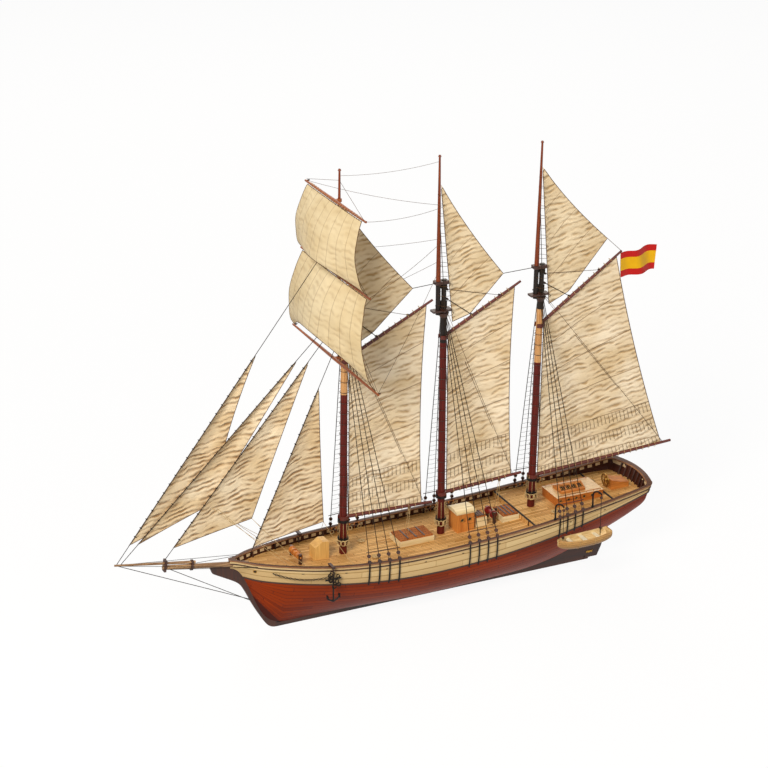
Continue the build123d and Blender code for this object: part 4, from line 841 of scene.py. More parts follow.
def gaff_sail(mast, settings):
    """Four-sided sail between a boom and a gaff, with its ropes, hoops, lacing and reef points"""
    body = mast + "_rig"
    name = mast + "_sail"
    points = islands(name)[0]
    tack, clew, throat, peak = (farthest(points, (x, 0, z)) for x, z in ((-1, -1), (1, -1), (-1, 1), (1, 1)))
    leech_hollow = 0.0045
    seed = {"fore": 1.3, "main": 5.1, "mizzen": 9.7}[mast]

    def sail_point(u, v):
        """u runs from luff to leech, v from foot to head"""
        point = tack.lerp(clew, u).lerp(throat.lerp(peak, u), v)
        point.x -= leech_hollow * u * u * 4 * v * (1 - v)
        edge = min(1.0, 6 * u, 6 * (1 - u), 6 * v, 6 * (1 - v))
        belly = settings.sail_belly * math.sin(math.pi * u ** 0.8) * math.sin(math.pi * v) ** 0.7
        point.y = belly + crease(point, settings.wrinkle, 0.35, seed) * edge
        return point

    piece = cloth_grid(name + "_cloth", "sailcloth", 90, 44, sail_point, body)
    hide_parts(name)
    border = boltrope(name, round_edge(sail_point, 20, 30), 0.00045, body)
    reefs = reef_points(name, sail_point, settings.reef_pitch, body)
    lacing = spar_lacing(name, ((tack, clew, -0.0022), (throat, peak, 0.0022)), body)
    hoops = mast_hoops(mast, tack.z, throat.z, settings.hoop_pitch, body)
    declare_sheet(piece, [tack, clew, peak, throat], [mast + "_boom", mast + "_gaff"])


def reef_points(name, sail_point, pitch, body):
    """Short cords that hang from each reef on both sides of a sail"""
    mesh = bmesh.new()
    length, thinnest = 0.052, 0.0002  # length as a share of the sail's height
    for row in REEF_ROWS:
        count = int((sail_point(1, row) - sail_point(0, row)).length / pitch)
        for k in range(1, count):
            top = sail_point(k / count, row)
            foot = sail_point(k / count, max(0.004, row - length))
            for side, _ in SIDES:
                off = Vector((0, side * 0.0006, 0))
                tube(mesh, [top + off, top.lerp(foot, 0.5) + off * 1.6, foot + off], thinnest, 4)
    return finish_mesh(name + "_reef_points", mesh, "brown cord", body)


def spar_lacing(name, edges, body):
    """Pale turns of cord that lace a sail's foot to its boom and its head to its gaff; each edge has a start,
    an end and how far the spar's middle lies above it"""
    mesh = bmesh.new()
    pitch, radius, cord = 0.0085, 0.00275, 0.0003
    for start, end, lift in edges:
        run = end - start
        up = Vector((-run.z, 0, run.x)).normalized()
        count = int(run.length / pitch)
        for k in range(1, count):
            ring(mesh, start + run * (k / count) + up * lift, run, radius, cord, 12, 5)
    return finish_mesh(name + "_lacing", mesh, "manila cord", body)


def mast_hoops(mast, low, high, pitch, body):
    """Bent wooden hoops that hold a sail's fore edge to its mast, with some play round it"""
    ends = mast_axis(mast)
    slope = (ends[1] - ends[0]).normalized()
    mast_foot, mast_length = 0.08, 0.29
    foot_radius, head_radius, play = 0.0047, 0.0041, 0.0013
    mesh = bmesh.new()
    count = int((high - low) / pitch)
    for k in range(1, count):
        z = low + (high - low) * k / count
        share = (z - mast_foot) / mast_length
        radius = foot_radius + (head_radius - foot_radius) * share + play
        ring(mesh, axis_at(ends, z) + Vector((0.0004, 0, 0)), slope, radius, 0.00034, 18, 5)
    return finish_mesh(mast + "_sail_hoops", mesh, "walnut", body)


def triangle_cloth(name, finish, corners, hollow, belly, seed, turn, foot=None):
    """Sail with its luff from tack to head and its clew aft; foot is a fourth corner on the lower edge"""
    head, tack, clew = corners
    foot_fade = 3.2  # the foot's corner is gone at 1 / 3.2 of the height
    inward = ((head + tack) / 2 - clew).normalized()
    normal = (head - tack).normalized().cross(clew - tack).normalized()

    def sail_point(u, v):
        """u runs from luff to leech, v from foot to head"""
        point = tack.lerp(head, v).lerp(clew.lerp(head, v), u)
        if foot is not None:
            sink = max(0.0, 1 - v * foot_fade)
            share = (foot - tack).dot((clew - tack).normalized()) / (clew - tack).length
            drop = foot - tack.lerp(clew, share)
            point += drop * max(0.0, min(u / share, (1 - u) / (1 - share))) * sink * sink
        point += inward * (hollow * u * 4 * v * (1 - v))
        edge = min(1.0, 7 * u * (1 - v) + 0.15, 7 * (1 - u), 7 * v)
        swell = belly * math.sin(math.pi * u) * math.sin(math.pi * min(1.0, v * 0.9 + 0.05)) * (1 - v) ** 0.5
        return point + normal * (swell + crease(point, 0.0007, turn, seed) * max(0.0, edge))

    piece = cloth_grid(name, finish, 60, 26, sail_point, "hull")
    edge = [sail_point(0, v / 30) for v in range(30)] + [sail_point(1, 1 - v / 30) for v in range(1, 30)]
    edge += [sail_point(1 - u / 20, 0) for u in range(20)]
    return piece, boltrope(name, edge, 0.0004, "hull")


def square_cloth(name, solid, seed, settings):
    """Square sail laid on its CAD surface, with a bolt rope"""
    body = "yard_rig"
    tree = tree_of("square_sails")
    top_z = max(p.z for p in solid)
    low_z = min(p.z for p in solid)
    top_half = max(abs(p.y) for p in solid if top_z - p.z < 0.004)
    foot_half = max(abs(p.y) for p in solid if p.z - low_z < 0.004)
    roach = min(p.z for p in solid if abs(p.y) < 0.012) - low_z
    ahead = 0.05
    front_x = min(p.x for p in solid) - ahead
    inset = 0.0008

    def sail_point(u, v):
        """u runs from port to starboard, v from foot to head"""
        across = 2 * u - 1
        y = across * (foot_half + (top_half - foot_half) * v) * 0.992
        low = low_z + roach * (1 - across * across)
        z = min(max(low + (top_z - low) * v, low + inset), top_z - inset)
        hit = tree.ray_cast(Vector((front_x, y, z)), Vector((1, 0, 0)))[0]
        if hit is None:
            hit = tree.find_nearest(Vector((front_x + 0.07, y, z)))[0]
        edge = min(1.0, 8 * u, 8 * (1 - u), 8 * v, 8 * (1 - v))
        fold = crease(Vector((y, 0, z)), settings.wrinkle * 0.8, 1.2, seed)
        return Vector((hit.x - 0.0001 + fold * edge, hit.y, hit.z))

    piece = cloth_grid(name, "square cloth", 40, 60, sail_point, body)
    border = boltrope(name, round_edge(sail_point, 40, 24), 0.0004, body)
    steps = 20
    middle = [sail_point(0.5, k / steps) for k in range(steps + 1)]
    rises = [(b - a).length for a, b in zip(middle, middle[1:])]
    size = (2 * foot_half, max(sum(rises), (sail_point(0, 1) - sail_point(0, 0)).length))
    return piece, sail_point


# ---------------------------------------------------------------- operators
class Worker:
    """What the operators share"""

    bl_options = {"REGISTER", "UNDO"}

    def execute(self, context):
        self.build(context.scene.schooner)
        return {"FINISHED"}


class SCHOONER_OT_finishes(Worker, bpy.types.Operator):
    """Give every CAD piece the finish of its real material"""

    bl_idname = "schooner.finishes"
    bl_label = "Finish the CAD pieces"

    def build(self, settings):
        make_finishes()
        finish_of = {node: finish for finish, nodes in NODES_OF_FINISH.items() for node in nodes.split()}
        for node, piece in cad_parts.items():
            finish = FINISHES[finish_of.get(node, "sailcloth")]
            if piece.material_slots:
                for material_slot in piece.material_slots:
                    material_slot.material = finish
            else:
                piece.data.materials.append(finish)


class SCHOONER_OT_gaff_sails(Worker, bpy.types.Operator):
    """Make the three large fore-and-aft sails"""

    bl_idname = "schooner.gaff_sails"
    bl_label = "Gaff sails"

    def build(self, settings):
        for mast in MASTS:
            gaff_sail(mast, settings)


class SCHOONER_OT_topsails(Worker, bpy.types.Operator):
    """Make the topsails above the gaffs"""

    bl_idname = "schooner.topsails"
    bl_label = "Gaff topsails"

    def build(self, settings):
        first = None
        for mast, points in zip(MASTS, bow_to_stern("gaff_topsails")):
            head = farthest(points, (0, 0, 1))
            clew = farthest(points, (1, 0, 0))
            tack = farthest(points, (-1, 0, -0.75))
            foot = farthest(points, (clew.z - tack.z, 0, tack.x - clew.x))
            for corner in (head, clew, tack, foot):
                corner.y = 0
            piece, border = triangle_cloth(mast + "_topsail", "topsail cloth", (head, tack, clew), 0.006, 0.004,
                                           2.0 + len(mast), 0.35, foot)
            declare_sheet(piece, [tack, foot, clew, head], [mast + "_topmast"])
            self.robands(mast, tack, head)
            first = first or piece
        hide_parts("gaff_topsails")
        peak = farthest(islands("mizzen_gaff")[0], (1, 0, 0.5))
        rope("mizzen_topsail_sheet", [clew.copy(), Vector((peak.x, 0, peak.z))], settings.rope_radius, "hull",
             "brown cord", "mizzen_rig")

    def robands(self, mast, tack, head):
        """Short lashings that hold a topsail's luff to the topmast"""
        mesh = bmesh.new()
        pitch, cord = 0.012, 0.00024
        ends = centre_line(frame_points(mast + "_topmast"))
        count = int((head.z - tack.z) / pitch)
        for k in range(1, count):
            luff = tack.lerp(head, k / count)
            spar = axis_at(ends, luff.z)
            reach = (luff - spar).length / 2 + 0.0016
            ring(mesh, spar.lerp(luff, 0.5), ends[1] - ends[0], reach, cord, 14, 5)
        finish_mesh(mast + "_topsail_robands", mesh, "brown cord", "hull")


class SCHOONER_OT_headsails(Worker, bpy.types.Operator):
    """Make the four headsails and the hanks that hold them to their stays"""

    bl_idname = "schooner.headsails"
    bl_label = "Headsails"

    # Each sail with how far its leech is hollowed
    SAILS = (("flying_jib", 0.009), ("outer_jib", -0.001), ("inner_jib", 0.001), ("fore_staysail", 0.002))

    def build(self, settings):
        first = None
        hanks = bmesh.new()
        pitch = 0.012
        for k, ((name, hollow), points) in enumerate(zip(self.SAILS, bow_to_stern("jibs"))):
            head, tack, clew = (farthest(points, way) for way in ((0, 0, 1), (-1, 0, 0), (1, 0, -1)))
            piece, border = triangle_cloth(name, "jib cloth", (head, tack, clew), hollow, 0.005, 11.0 + k, 0.9)
            declare_sheet(piece, [tack, clew, head], ["stays"])
            first = first or piece
            run = head - tack
            count = int(run.length / pitch)
            for i in range(1, count):
                ring(hanks, tack + run * (i / count), run, 0.0011, 0.0005, 10, 5)
        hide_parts("jibs")
        finish_mesh("headsail_hanks", hanks, "blackened iron", "hull")


class SCHOONER_OT_square_sails(Worker, bpy.types.Operator):
    """Make the two square sails and lash them to their yards"""

    bl_idname = "schooner.square_sails"
    bl_label = "Square sails"

    def build(self, settings):
        first = None
        lashings = bmesh.new()
        turns = 24
        for k, (level, points) in enumerate(zip(("upper", "lower"), top_down("square_sails"))):
            piece, sail_point = square_cloth(level + "_square_sail", points, 3.0 + k, settings)
            first = first or piece
            for i in range(1, turns):
                spot = sail_point(i / turns, 1) + Vector((0.0019, 0, 0.0006))
                ring(lashings, spot, (0, 1, 0), 0.0027, 0.00024, 12, 5)
        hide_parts("square_sails")
        finish_mesh("square_sail_lashings", lashings, "manila cord", "yard_rig")


class SCHOONER_OT_flag(Worker, bpy.types.Operator):
    """Make the striped flag at the mizzen gaff's end, without arms"""

    bl_idname = "schooner.flag"
    bl_label = "Flag"

    def build(self, settings):
        points = islands("flag")[0]
        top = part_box("flag")[1].z
        hoist_low, hoist_high, fly_low, fly_high = (
            farthest(points, (x, 0, z)) for x, z in ((-1, -1), (-1, 1), (1, -1), (1, 1)))

        def flag_point(u, v):
            """u runs from hoist to fly, v from foot to head"""
            point = hoist_low.lerp(fly_low, u).lerp(hoist_high.lerp(fly_high, u), v)
            point.y = 0.0035 * math.sin(u * 8.5 + v * 1.3) * min(1.0, u * 3)
            point.z = min(top, point.z + 0.0008 * math.sin(u * 8.5 + 1.0) * u)
            return point

        piece = cloth_grid("flag_cloth", "flag cloth", 20, 36, flag_point, "mizzen_rig")
        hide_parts("flag")
        width = (fly_low - hoist_low).length
        height = (hoist_high - hoist_low).length
        ends = [hoist_low - Vector((0.0005, 0, 0.004)), hoist_high + Vector((-0.0005, 0, 0))]
        halyard = rope("flag_halyard", ends, 0.00025, "mizzen_rig", "manila cord")


class SCHOONER_OT_ratlines(Worker, bpy.types.Operator):
    """Tie the ratlines across the shrouds, with a stretcher at their foot"""

    bl_idname = "schooner.ratlines"
    bl_label = "Ratlines"

    def build(self, settings):
        mesh = bmesh.new()
        battens = bmesh.new()
        sag = Vector((0, 0, 0.0003))
        ratline, batten_radius, overhang = 0.00017, 0.0005, 0.003
        for (mast, side), lines in shroud_lines().items():
            if len(lines) < 2:
                raise RuntimeError("the shrouds of the " + mast + " mast weren't found")
            low = max(line[0].z for line in lines) + 0.006
            high = min(line[1].z for line in lines) - 0.03
            count = int((high - low) / settings.ratline_pitch)
            for k in range(count):
                knots = [axis_at(line, low + (high - low) * k / count) for line in lines]
                path = [knots[0]]
                for a, b in zip(knots, knots[1:]):
                    path += [a.lerp(b, 0.5) - sag, b]
                tube(mesh, path, ratline, 4)
            batten = [axis_at(line, low - 0.003) + Vector((0, side * 0.0008, 0)) for line in lines]
            start = batten[0] + (batten[0] - batten[1]).normalized() * overhang
            end = batten[-1] + (batten[-1] - batten[-2]).normalized() * overhang
            tube(battens, [start, *batten, end], batten_radius, 6)
        finish_mesh("ratlines", mesh, "tarred cord", "hull")
        finish_mesh("shroud_stretchers", battens, "walnut", "hull")


class SCHOONER_OT_running_rigging(Worker, bpy.types.Operator):
    """Reeve the halyards, topping lifts, sheets, lifts and braces, with their blocks"""

    bl_idname = "schooner.running_rigging"
    bl_label = "Running rigging"

    # Where the outer and inner peak halyards leave the mast, and the topping lifts
    HALYARD_Z = (0.396, 0.384)
    LIFT_Z = 0.372
    # Where each boom's sheet meets the deck; the mizzen has none
    SHEET_FOOT_Z = {"fore": 0.084, "main": 0.094}
    # Each yard from the top, with where its lift meets the topmast and its brace the main mast
    YARD_LINES = (("upper", 0.548, 0.500), ("middle", 0.470, 0.458), ("lower", 0.405, 0.430))
    # Where each headsail's sheets meet the rail
    HEADSHEET_X = (-0.215, -0.205, -0.195, -0.140)
    # Lowest eye, distance between eyes and their number, above the crosstrees and below the cap
    EYES = ((0.3742, 0.00125, 7), (0.3985, 0.0012, 4))

    def build(self, settings):
        radius = settings.rope_radius
        for mast in MASTS:
            self.gaff_tackle(mast, radius)
        self.yard_gear(radius)
        self.truck_line(radius)
        self.headsail_sheets(radius)
        self.masthead_eyes()

    def masthead_eyes(self):
        """Shroud eyes piled round each masthead above the crosstrees, and turns of rope below the cap"""
        mesh = bmesh.new()
        eye, cord = 0.0036, 0.0006
        for mast in MASTS:
            ends = mast_axis(mast)
            slope = (ends[1] - ends[0]).normalized()
            for low, pitch, count in self.EYES:
                for k in range(count):
                    ring(mesh, axis_at(ends, low + pitch * k), slope, eye, cord, 18, 6)
        finish_mesh("masthead_eyes", mesh, "tarred cord", "hull")

    def gaff_tackle(self, mast, radius):
        """Peak halyards, topping lifts and boom sheets of one mast"""
        ends = mast_axis(mast)
        body = mast + "_rig"
        throat = axis_at(ends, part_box(mast + "_gaff")[0].z + 0.003)
        peak = farthest(islands(mast + "_gaff")[0], (1, 0, 0.5))
        boom_end = farthest(islands(mast + "_boom")[0], (1, 0, 0))
        boom_end.y = 0
        peak.y = 0
        blocks = bmesh.new()
        far_blocks = bmesh.new()
        mast_side, gaff_top = Vector((0.0042, 0, 0)), Vector((0, 0, 0.0026))
        top, low_top = (axis_at(ends, z) + mast_side for z in self.HALYARD_Z)
        inner, outer = (throat.lerp(peak, share) + gaff_top for share in (0.36, 0.72))
        rope(mast + "_peak_halyard_inner", [low_top, inner], radius * 1.6, "hull", "tarred cord", body)
        rope(mast + "_peak_halyard_outer", [top, outer], radius, "hull", "brown cord", body)
        for spot, target in ((top, blocks), (low_top, blocks), (inner, far_blocks), (outer, far_blocks)):
            pulley(target, spot, (0.6, 0, -0.6), 0.0021)
        for side, word in SIDES:
            start = axis_at(ends, self.LIFT_Z) + Vector((0.001, side * 0.0055, 0))
            stop = boom_end + Vector((-0.012, side * 0.002, 0.002))
            rope(mast + "_topping_lift_" + word, [start, stop], radius * 0.8, "hull", "brown cord", body)
            pulley(blocks, start, (0.3, 0, -1), 0.0018)
        if mast in self.SHEET_FOOT_Z:
            sheet_top = boom_end + Vector((-0.03, 0, -0.003))
            deck = Vector((sheet_top.x - 0.004, 0, self.SHEET_FOOT_Z[mast]))
            for side, word in SIDES:
                line = [deck + Vector((0, side * 0.004, 0)), sheet_top + Vector((0, side * 0.0015, 0))]
                rope(mast + "_sheet_" + word, line, radius, "hull", "manila cord", body)
            pulley(blocks, deck + Vector((0, 0, 0.001)), (0, 0, 1), 0.002)
            pulley(far_blocks, sheet_top, (0, 0, 1), 0.002)
        finish_mesh(mast + "_mast_blocks", blocks, "walnut", "hull")
        finish_mesh(mast + "_rig_blocks", far_blocks, "walnut", body)

    def yard_gear(self, radius):
        """Lifts and braces of the yards"""
        main_ends = mast_axis("main")
        head = farthest(islands("fore_topmast")[0], (0, 0, 1))
        blocks = bmesh.new()
        for points, (level, lift_z, brace_z) in zip(top_down("yards"), self.YARD_LINES):
            for side, word in SIDES:
                end = farthest(points, (0, side, 0)) - Vector((0, side * 0.004, 0))
                name = level + "_" + word
                lift_top = Vector((head.x + 0.0006, side * 0.002, lift_z))
                aft = Vector((axis_at(main_ends, brace_z).x - 0.006, side * 0.005, brace_z))
                for kind, path in (("_lift", [lift_top, end + Vector((0, 0, 0.002))]),
                                   ("_brace", sagging(aft, end, 0.004, 8))):
                    rope(name + kind, path, radius * 0.7, "hull", "brown cord", "yard_rig")
                pulley(blocks, end + Vector((0.002, 0, 0)), (1, 0, 0), 0.0017)
        finish_mesh("yard_blocks", blocks, "walnut", "yard_rig")

    def truck_line(self, radius):
        """Line between the fore and main topmasts' heads"""
        fore, main = (farthest(islands(mast + "_topmast")[0], (0, 0, 1)) - Vector((0, 0, 0.008))
                      for mast in MASTS[:2])
        mesh = bmesh.new()
        tube(mesh, sagging(fore, main, 0.004), radius * 0.6, 5)
        finish_mesh("triatic_line", mesh, "brown cord", "hull")

    def headsail_sheets(self, radius):
        """Sheets from each headsail's clew to both rails"""
        mesh = bmesh.new()
        for points, x in zip(bow_to_stern("jibs"), self.HEADSHEET_X):
            clew = farthest(points, (1, 0, -1))
            for side, _ in SIDES:
                tube(mesh, sagging(clew, rail_point(x, side), 0.003, 8), radius * 0.8, 5)
        finish_mesh("headsail_sheets", mesh, "manila cord", "hull")


class SCHOONER_OT_deck_gear(Worker, bpy.types.Operator):
    """Fit belaying pins, coils, hatch battens, handrails and windows on deck"""

    bl_idname = "schooner.deck_gear"
    bl_label = "Deck gear"

    DECK_COILS = ((-0.098, 0.02, 0.0790), (-0.1, -0.026, 0.0790), (0.052, 0.026, 0.0802),
                  (0.058, -0.024, 0.0803), (-0.15, 0.022, 0.0792), (0.14, 0.03, 0.0912),
                  (0.142, -0.03, 0.0912), (0.225, 0.024, 0.0940))

    def build(self, settings):
        chance = random.Random(settings.seed)
        self.pins(chance)
        self.mast_coils(chance)
        self.houses()
        self.hatches()
        self.deck_steps()
        self.deck_coils(chance)

    def pins(self, chance):
        """Pin rail inside the bulwark at each set of shrouds, with its pins and coils"""
        pins = bmesh.new()
        coils = bmesh.new()
        rails = bmesh.new()
        for (_, side), lines in shroud_lines().items():
            start = lines[0][0].x - 0.004
            run = lines[-1][0].x + 0.004 - start

            def spot_at(share):
                return rail_point(start + run * share, side, -0.004) - Vector((0, side * 0.0016, 0))

            tube(rails, [spot_at(k / 6) for k in range(7)], 0.0011, 8)
            for k in range(7):
                spot = spot_at((k + 0.5) / 7)
                foot, waist, head = (spot + Vector((0, 0, z)) for z in (-0.0042, 0.0016, 0.0042))
                tube(pins, [foot, waist], 0.00042, 6)
                tube(pins, [waist, head], 0.0007, 6)
                if k % 2 == 0:
                    hung = spot - Vector((0, side * 0.0012, 0.0012))
                    coil(coils, hung, (0.15, 1, 0), 0.0024, 0.0003, 3, chance)
        finish_mesh("pin_rails", rails, "walnut", "hull")
        finish_mesh("belaying_pins", pins, "stained pine upright", "hull")
        finish_mesh("pin_coils", coils, "manila cord", "hull")

    def mast_coils(self, chance):
        """Coils that hang round each mast's pin band, and the falls that come down to it"""
        mesh = bmesh.new()
        falls = bmesh.new()
        count = 8
        drop, rise = 0.006, 0.022  # of the coils below the band and of the falls above it
        for mast in MASTS:
            ends = mast_axis(mast)
            band_z = 0.111 if mast == "mizzen" else 0.100
            for k in range(count):
                turn = 2 * math.pi * (k + 0.5) / count
                out = Vector((math.cos(turn), math.sin(turn), 0))
                coil(mesh, axis_at(ends, band_z - drop) + out * 0.0068, out, 0.0036, 0.00032, 4, chance)
                fall = [axis_at(ends, band_z) + out * 0.0066, axis_at(ends, band_z + rise) + out * 0.0056]
                tube(falls, fall, 0.00028, 5)
        finish_mesh("mast_coils", mesh, "manila cord", "hull")
        finish_mesh("mast_falls", falls, "manila cord", "hull")

    def houses(self):
        """Round ports in the deckhouse and the cabin, each a brass rim round a near-black disc painted as the
        shade behind its glass, the cabin's handrails and the skylight's bars
        """
        frames = bmesh.new()
        glass = bmesh.new()

        def port(centre, radius, rim, segments):
            ring(frames, centre, (0, 1, 0), radius, rim, segments, 6)
            # near-black disc: painted shade behind the port's glass
            disc(glass, segments, radius - 0.0001, lambda p: Vector((p.x, 0, p.y)) + centre)

        low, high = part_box("deckhouse")
        z = (low.z + high.z) / 2 + 0.004
        for side, y in ((-1, low.y), (1, high.y)):
            for share in (0.28, 0.72):
                port(Vector((low.x + (high.x - low.x) * share, y + side * 0.0002, z)), 0.0021, 0.0004, 16)
        low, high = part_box("after_cabin")
        wall_low, wall_top = 0.093, high.z - 0.0014
        z = (wall_low + wall_top) / 2 + 0.001
        for side, y in ((-1, low.y), (1, high.y)):
            for k in range(6):
                x = low.x + (high.x - low.x) * (k + 0.5) / 6
                port(Vector((x, y - side * 0.0006, z)), 0.0017, 0.00035, 14)
        finish_mesh("port_rims", frames, "aged brass", "hull")
        finish_mesh("port_lights", glass, "painted shade black", "hull")
        rails = bmesh.new()
        start, end = low.x + 0.004, high.x - 0.004
        rise = Vector((0, 0, 0.0016))
        for y in (low.y + 0.002, high.y - 0.002):
            tube(rails, [Vector((x, y, high.z)) + rise for x in (start, end)], 0.0005, 6)
            for k in range(7):
                foot = Vector((start + (end - start) * k / 6, y, high.z))
                tube(rails, [foot, foot + rise], 0.0004, 6)
        bars = bmesh.new()
        low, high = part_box("skylight")
        for side, _ in SIDES:
            for k in range(1, 12):
                x = low.x + (high.x - low.x) * k / 12
                tube(bars, [Vector((x, side * 0.001, high.z - 0.0006)),
                            Vector((x, side * (high.y - 0.002), low.z + 0.0032))], 0.00022, 4)
        finish_mesh("cabin_handrails", rails, "stained pine", "hull")
        finish_mesh("skylight_bars", bars, "aged brass", "hull")

    def hatches(self):
        """Battens across the hatch covers"""
        mesh = bmesh.new()
        for points in islands("hatch_covers"):
            low = Vector([min(p[i] for p in points) for i in range(3)])
            high = Vector([max(p[i] for p in points) for i in range(3)])
            for k in range(1, 4):
                x = low.x + (high.x - low.x) * k / 4
                rounded_box(mesh, Vector((x - 0.0009, low.y + 0.001, high.z)),
                            Vector((x + 0.0009, high.y - 0.001, high.z + 0.0008)), 0.0002)
        finish_mesh("hatch_battens", mesh, "walnut", "hull", smooth=False)

    def deck_steps(self):
        """Near-black rods across the deck at the quarterdeck's break and abaft the cabin, painted shade at
        these steps
        """
        mesh = bmesh.new()
        rise = Vector((0, 0, 0.0003))
        start_y, step, above_z = -0.06, 0.002, 0.13
        for x in (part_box("quarter_deck")[0].x + 0.0012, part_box("after_cabin")[1].x + 0.006):
            last = None
            for k in range(61):
                above = Vector((x, start_y + step * k, above_z))
                spot = tree_of("quarter_deck").ray_cast(above, Vector((0, 0, -1)))[0]
                if spot is not None and last is not None:
                    # near-black rod: painted shade along the step
                    tube(mesh, [last + rise, spot + rise], 0.0013, 6)
                last = spot
        finish_mesh("deck_step_shade", mesh, "painted shade black", "hull")

    def deck_coils(self, chance):
        """Flat coils of rope on the deck, each turn smaller than the last"""
        mesh = bmesh.new()
        widest, step, cord = 0.0042, 0.00065, 0.00034
        for x, y, z in self.DECK_COILS:
            for k in range(5):
                lean = (chance.uniform(-0.02, 0.02), 0, 1)
                ring(mesh, Vector((x, y, z + 0.0004)), lean, widest - k * step, cord, 18, 5)
        finish_mesh("deck_coils", mesh, "manila cord", "hull")


class SCHOONER_OT_hull_gear(Worker, bpy.types.Operator):
    """Fit hawse pipes, scuppers, anchor gear, the bowsprit's guys and the boat's gripes"""

    bl_idname = "schooner.hull_gear"
    bl_label = "Hull gear"

    def build(self, settings):
        self.openings()
        self.bow_lines()
        self.anchor_gear(random.Random(settings.seed + 1))
        self.boat_gear()

    def openings(self):
        """Hawse hole and scuppers on each side; each hole is a near-black disc, painted shade inside it"""
        rims = bmesh.new()
        holes = bmesh.new()
        hawse_x, hawse_z, size = -0.252, 0.0865, 0.0021
        below_sheer = 0.0078
        for side, _ in SIDES:
            hit, normal = side_point(hawse_x, hawse_z, side)
            if hit is None:
                raise RuntimeError("the hawse hole's place on the bow wasn't found")
            turn = normal.to_track_quat("Z", "Y")
            ring(rims, hit, normal, size, 0.0005, 18, 6)
            # near-black disc: painted shade inside the hawse hole
            disc(holes, 18, size, lambda p: turn @ p + hit + normal * 0.0001)
        low_x, low_z, bow_rise, stern_rise = SHEER
        for k in range(9):
            x = -0.2 + 0.05 * k
            rise, end = (bow_rise, HULL_START) if x < low_x else (stern_rise, HULL_END)
            z = low_z + rise * ((x - low_x) / (end - low_x)) ** 2 - below_sheer
            for side, _ in SIDES:
                hit, normal = side_point(x, z, side)
                if hit is not None:
                    turn = normal.to_track_quat("Z", "Y")
                    # near-black disc: painted shade inside the scupper
                    disc(holes, 10, 0.0009,
                         lambda p: turn @ Vector((p.x * 1.9, p.y * 0.7, 0)) + hit + normal * 0.0001)
        finish_mesh("hawse_rims", rims, "aged brass", "hull")
        finish_mesh("hull_openings", holes, "painted shade black", "hull")

    def bow_lines(self):
        """Guys from the bowsprit and the jibboom to each bow"""
        mesh = bmesh.new()
        tip = farthest(frame_points("jibboom"), (-1, 0, 0)) + Vector((0.006, 0, 0))
        cap = farthest(frame_points("bowsprit"), (-1, 0, 0)) + Vector((0.004, 0, 0))
        for side, _ in SIDES:
            bow = rail_point(-0.245, side, -0.004) + Vector((0, side * 0.002, 0))
            for end in (cap, tip):
                tube(mesh, [end + Vector((0, side * 0.0015, 0)), bow], 0.0003, 5)
        finish_mesh("bowsprit_guys", mesh, "tarred cord", "hull")

    def anchor_gear(self, chance):
        """Chain from each hawse hole to its anchor's ring, and the lashings that hold the anchor at the
        cathead"""
        chain = bmesh.new()
        lashing = bmesh.new()
        sag, links, turns = 0.007, 26, 9
        for points in islands("anchors"):
            top = farthest(points, (0, 0, 1))
            side = 1 if top.y > 0 else -1
            ring_spot = Vector((top.x, top.y, top.z - 0.001))
            hole = rail_point(-0.235, side, -0.009) + Vector((0, side * 0.006, 0))
            path = sagging(hole, ring_spot, sag, links)
            for k, (start, end) in enumerate(zip(path, path[1:])):
                link = end - start
                across = Vector((0, 0, 1)) if k % 2 else Vector((0, 1, 0))
                ring(chain, (start + end) / 2, link.cross(across), link.length * 0.42, 0.00038, 8, 5)
            for k in range(turns):
                spot = ring_spot + Vector((chance.uniform(-0.005, 0.006), side * 0.0015, -0.0022 * k + 0.004))
                coil(lashing, spot, (chance.uniform(-0.4, 0.4), 1, chance.uniform(-0.3, 0.3)),
                     chance.uniform(0.0018, 0.0034), 0.00042, 3, chance)
        finish_mesh("anchor_chain", chain, "blackened iron", "hull")
        finish_mesh("anchor_lashings", lashing, "tarred cord", "hull")

    def boat_gear(self):
        """Blocks of the boat's falls, and the gripes that pass under it"""
        gripes = bmesh.new()
        blocks = bmesh.new()
        fall_width = 0.003  # the davits themselves reach outboard, and are wider
        for points in islands("davits"):
            sides = [p.y for p in points]
            if max(sides) - min(sides) < fall_width:
                centre = sum(points, Vector()) / len(points)
                top, foot = max(p.z for p in points), min(p.z for p in points)
                for z in (top - 0.004, foot + 0.010):
                    pulley(blocks, Vector((centre.x, centre.y, z)), (0, 0, 1), 0.0019)
        low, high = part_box("ship_boat")
        middle = (low.y + high.y) / 2
        half = (high.y - low.y) / 2
        depth = high.z - low.z - 0.0026
        for share in (0.34, 0.64):
            x = low.x + (high.x - low.x) * share
            arc = [Vector((x, middle - half * 1.02 * math.cos(t), high.z - 0.003 - depth * math.sin(t) ** 0.8))
                   for t in (math.pi * k / 12 for k in range(13))]
            tube(gripes, arc, 0.0003, 5)
        finish_mesh("boat_blocks", blocks, "walnut", "hull")
        finish_mesh("boat_gripes", gripes, "manila cord", "hull")


def seen_white(tree):
    """1 for the rays that see the backdrop: from the camera, off gloss and through glass"""
    ray = add_node(tree, "ShaderNodeLightPath")
    rays = [Number(tree, ray.outputs["Is " + kind + " Ray"]) for kind in ("Camera", "Glossy", "Transmission")]
    return reduce(lambda a, b: calc("MAXIMUM", a, b), rays)


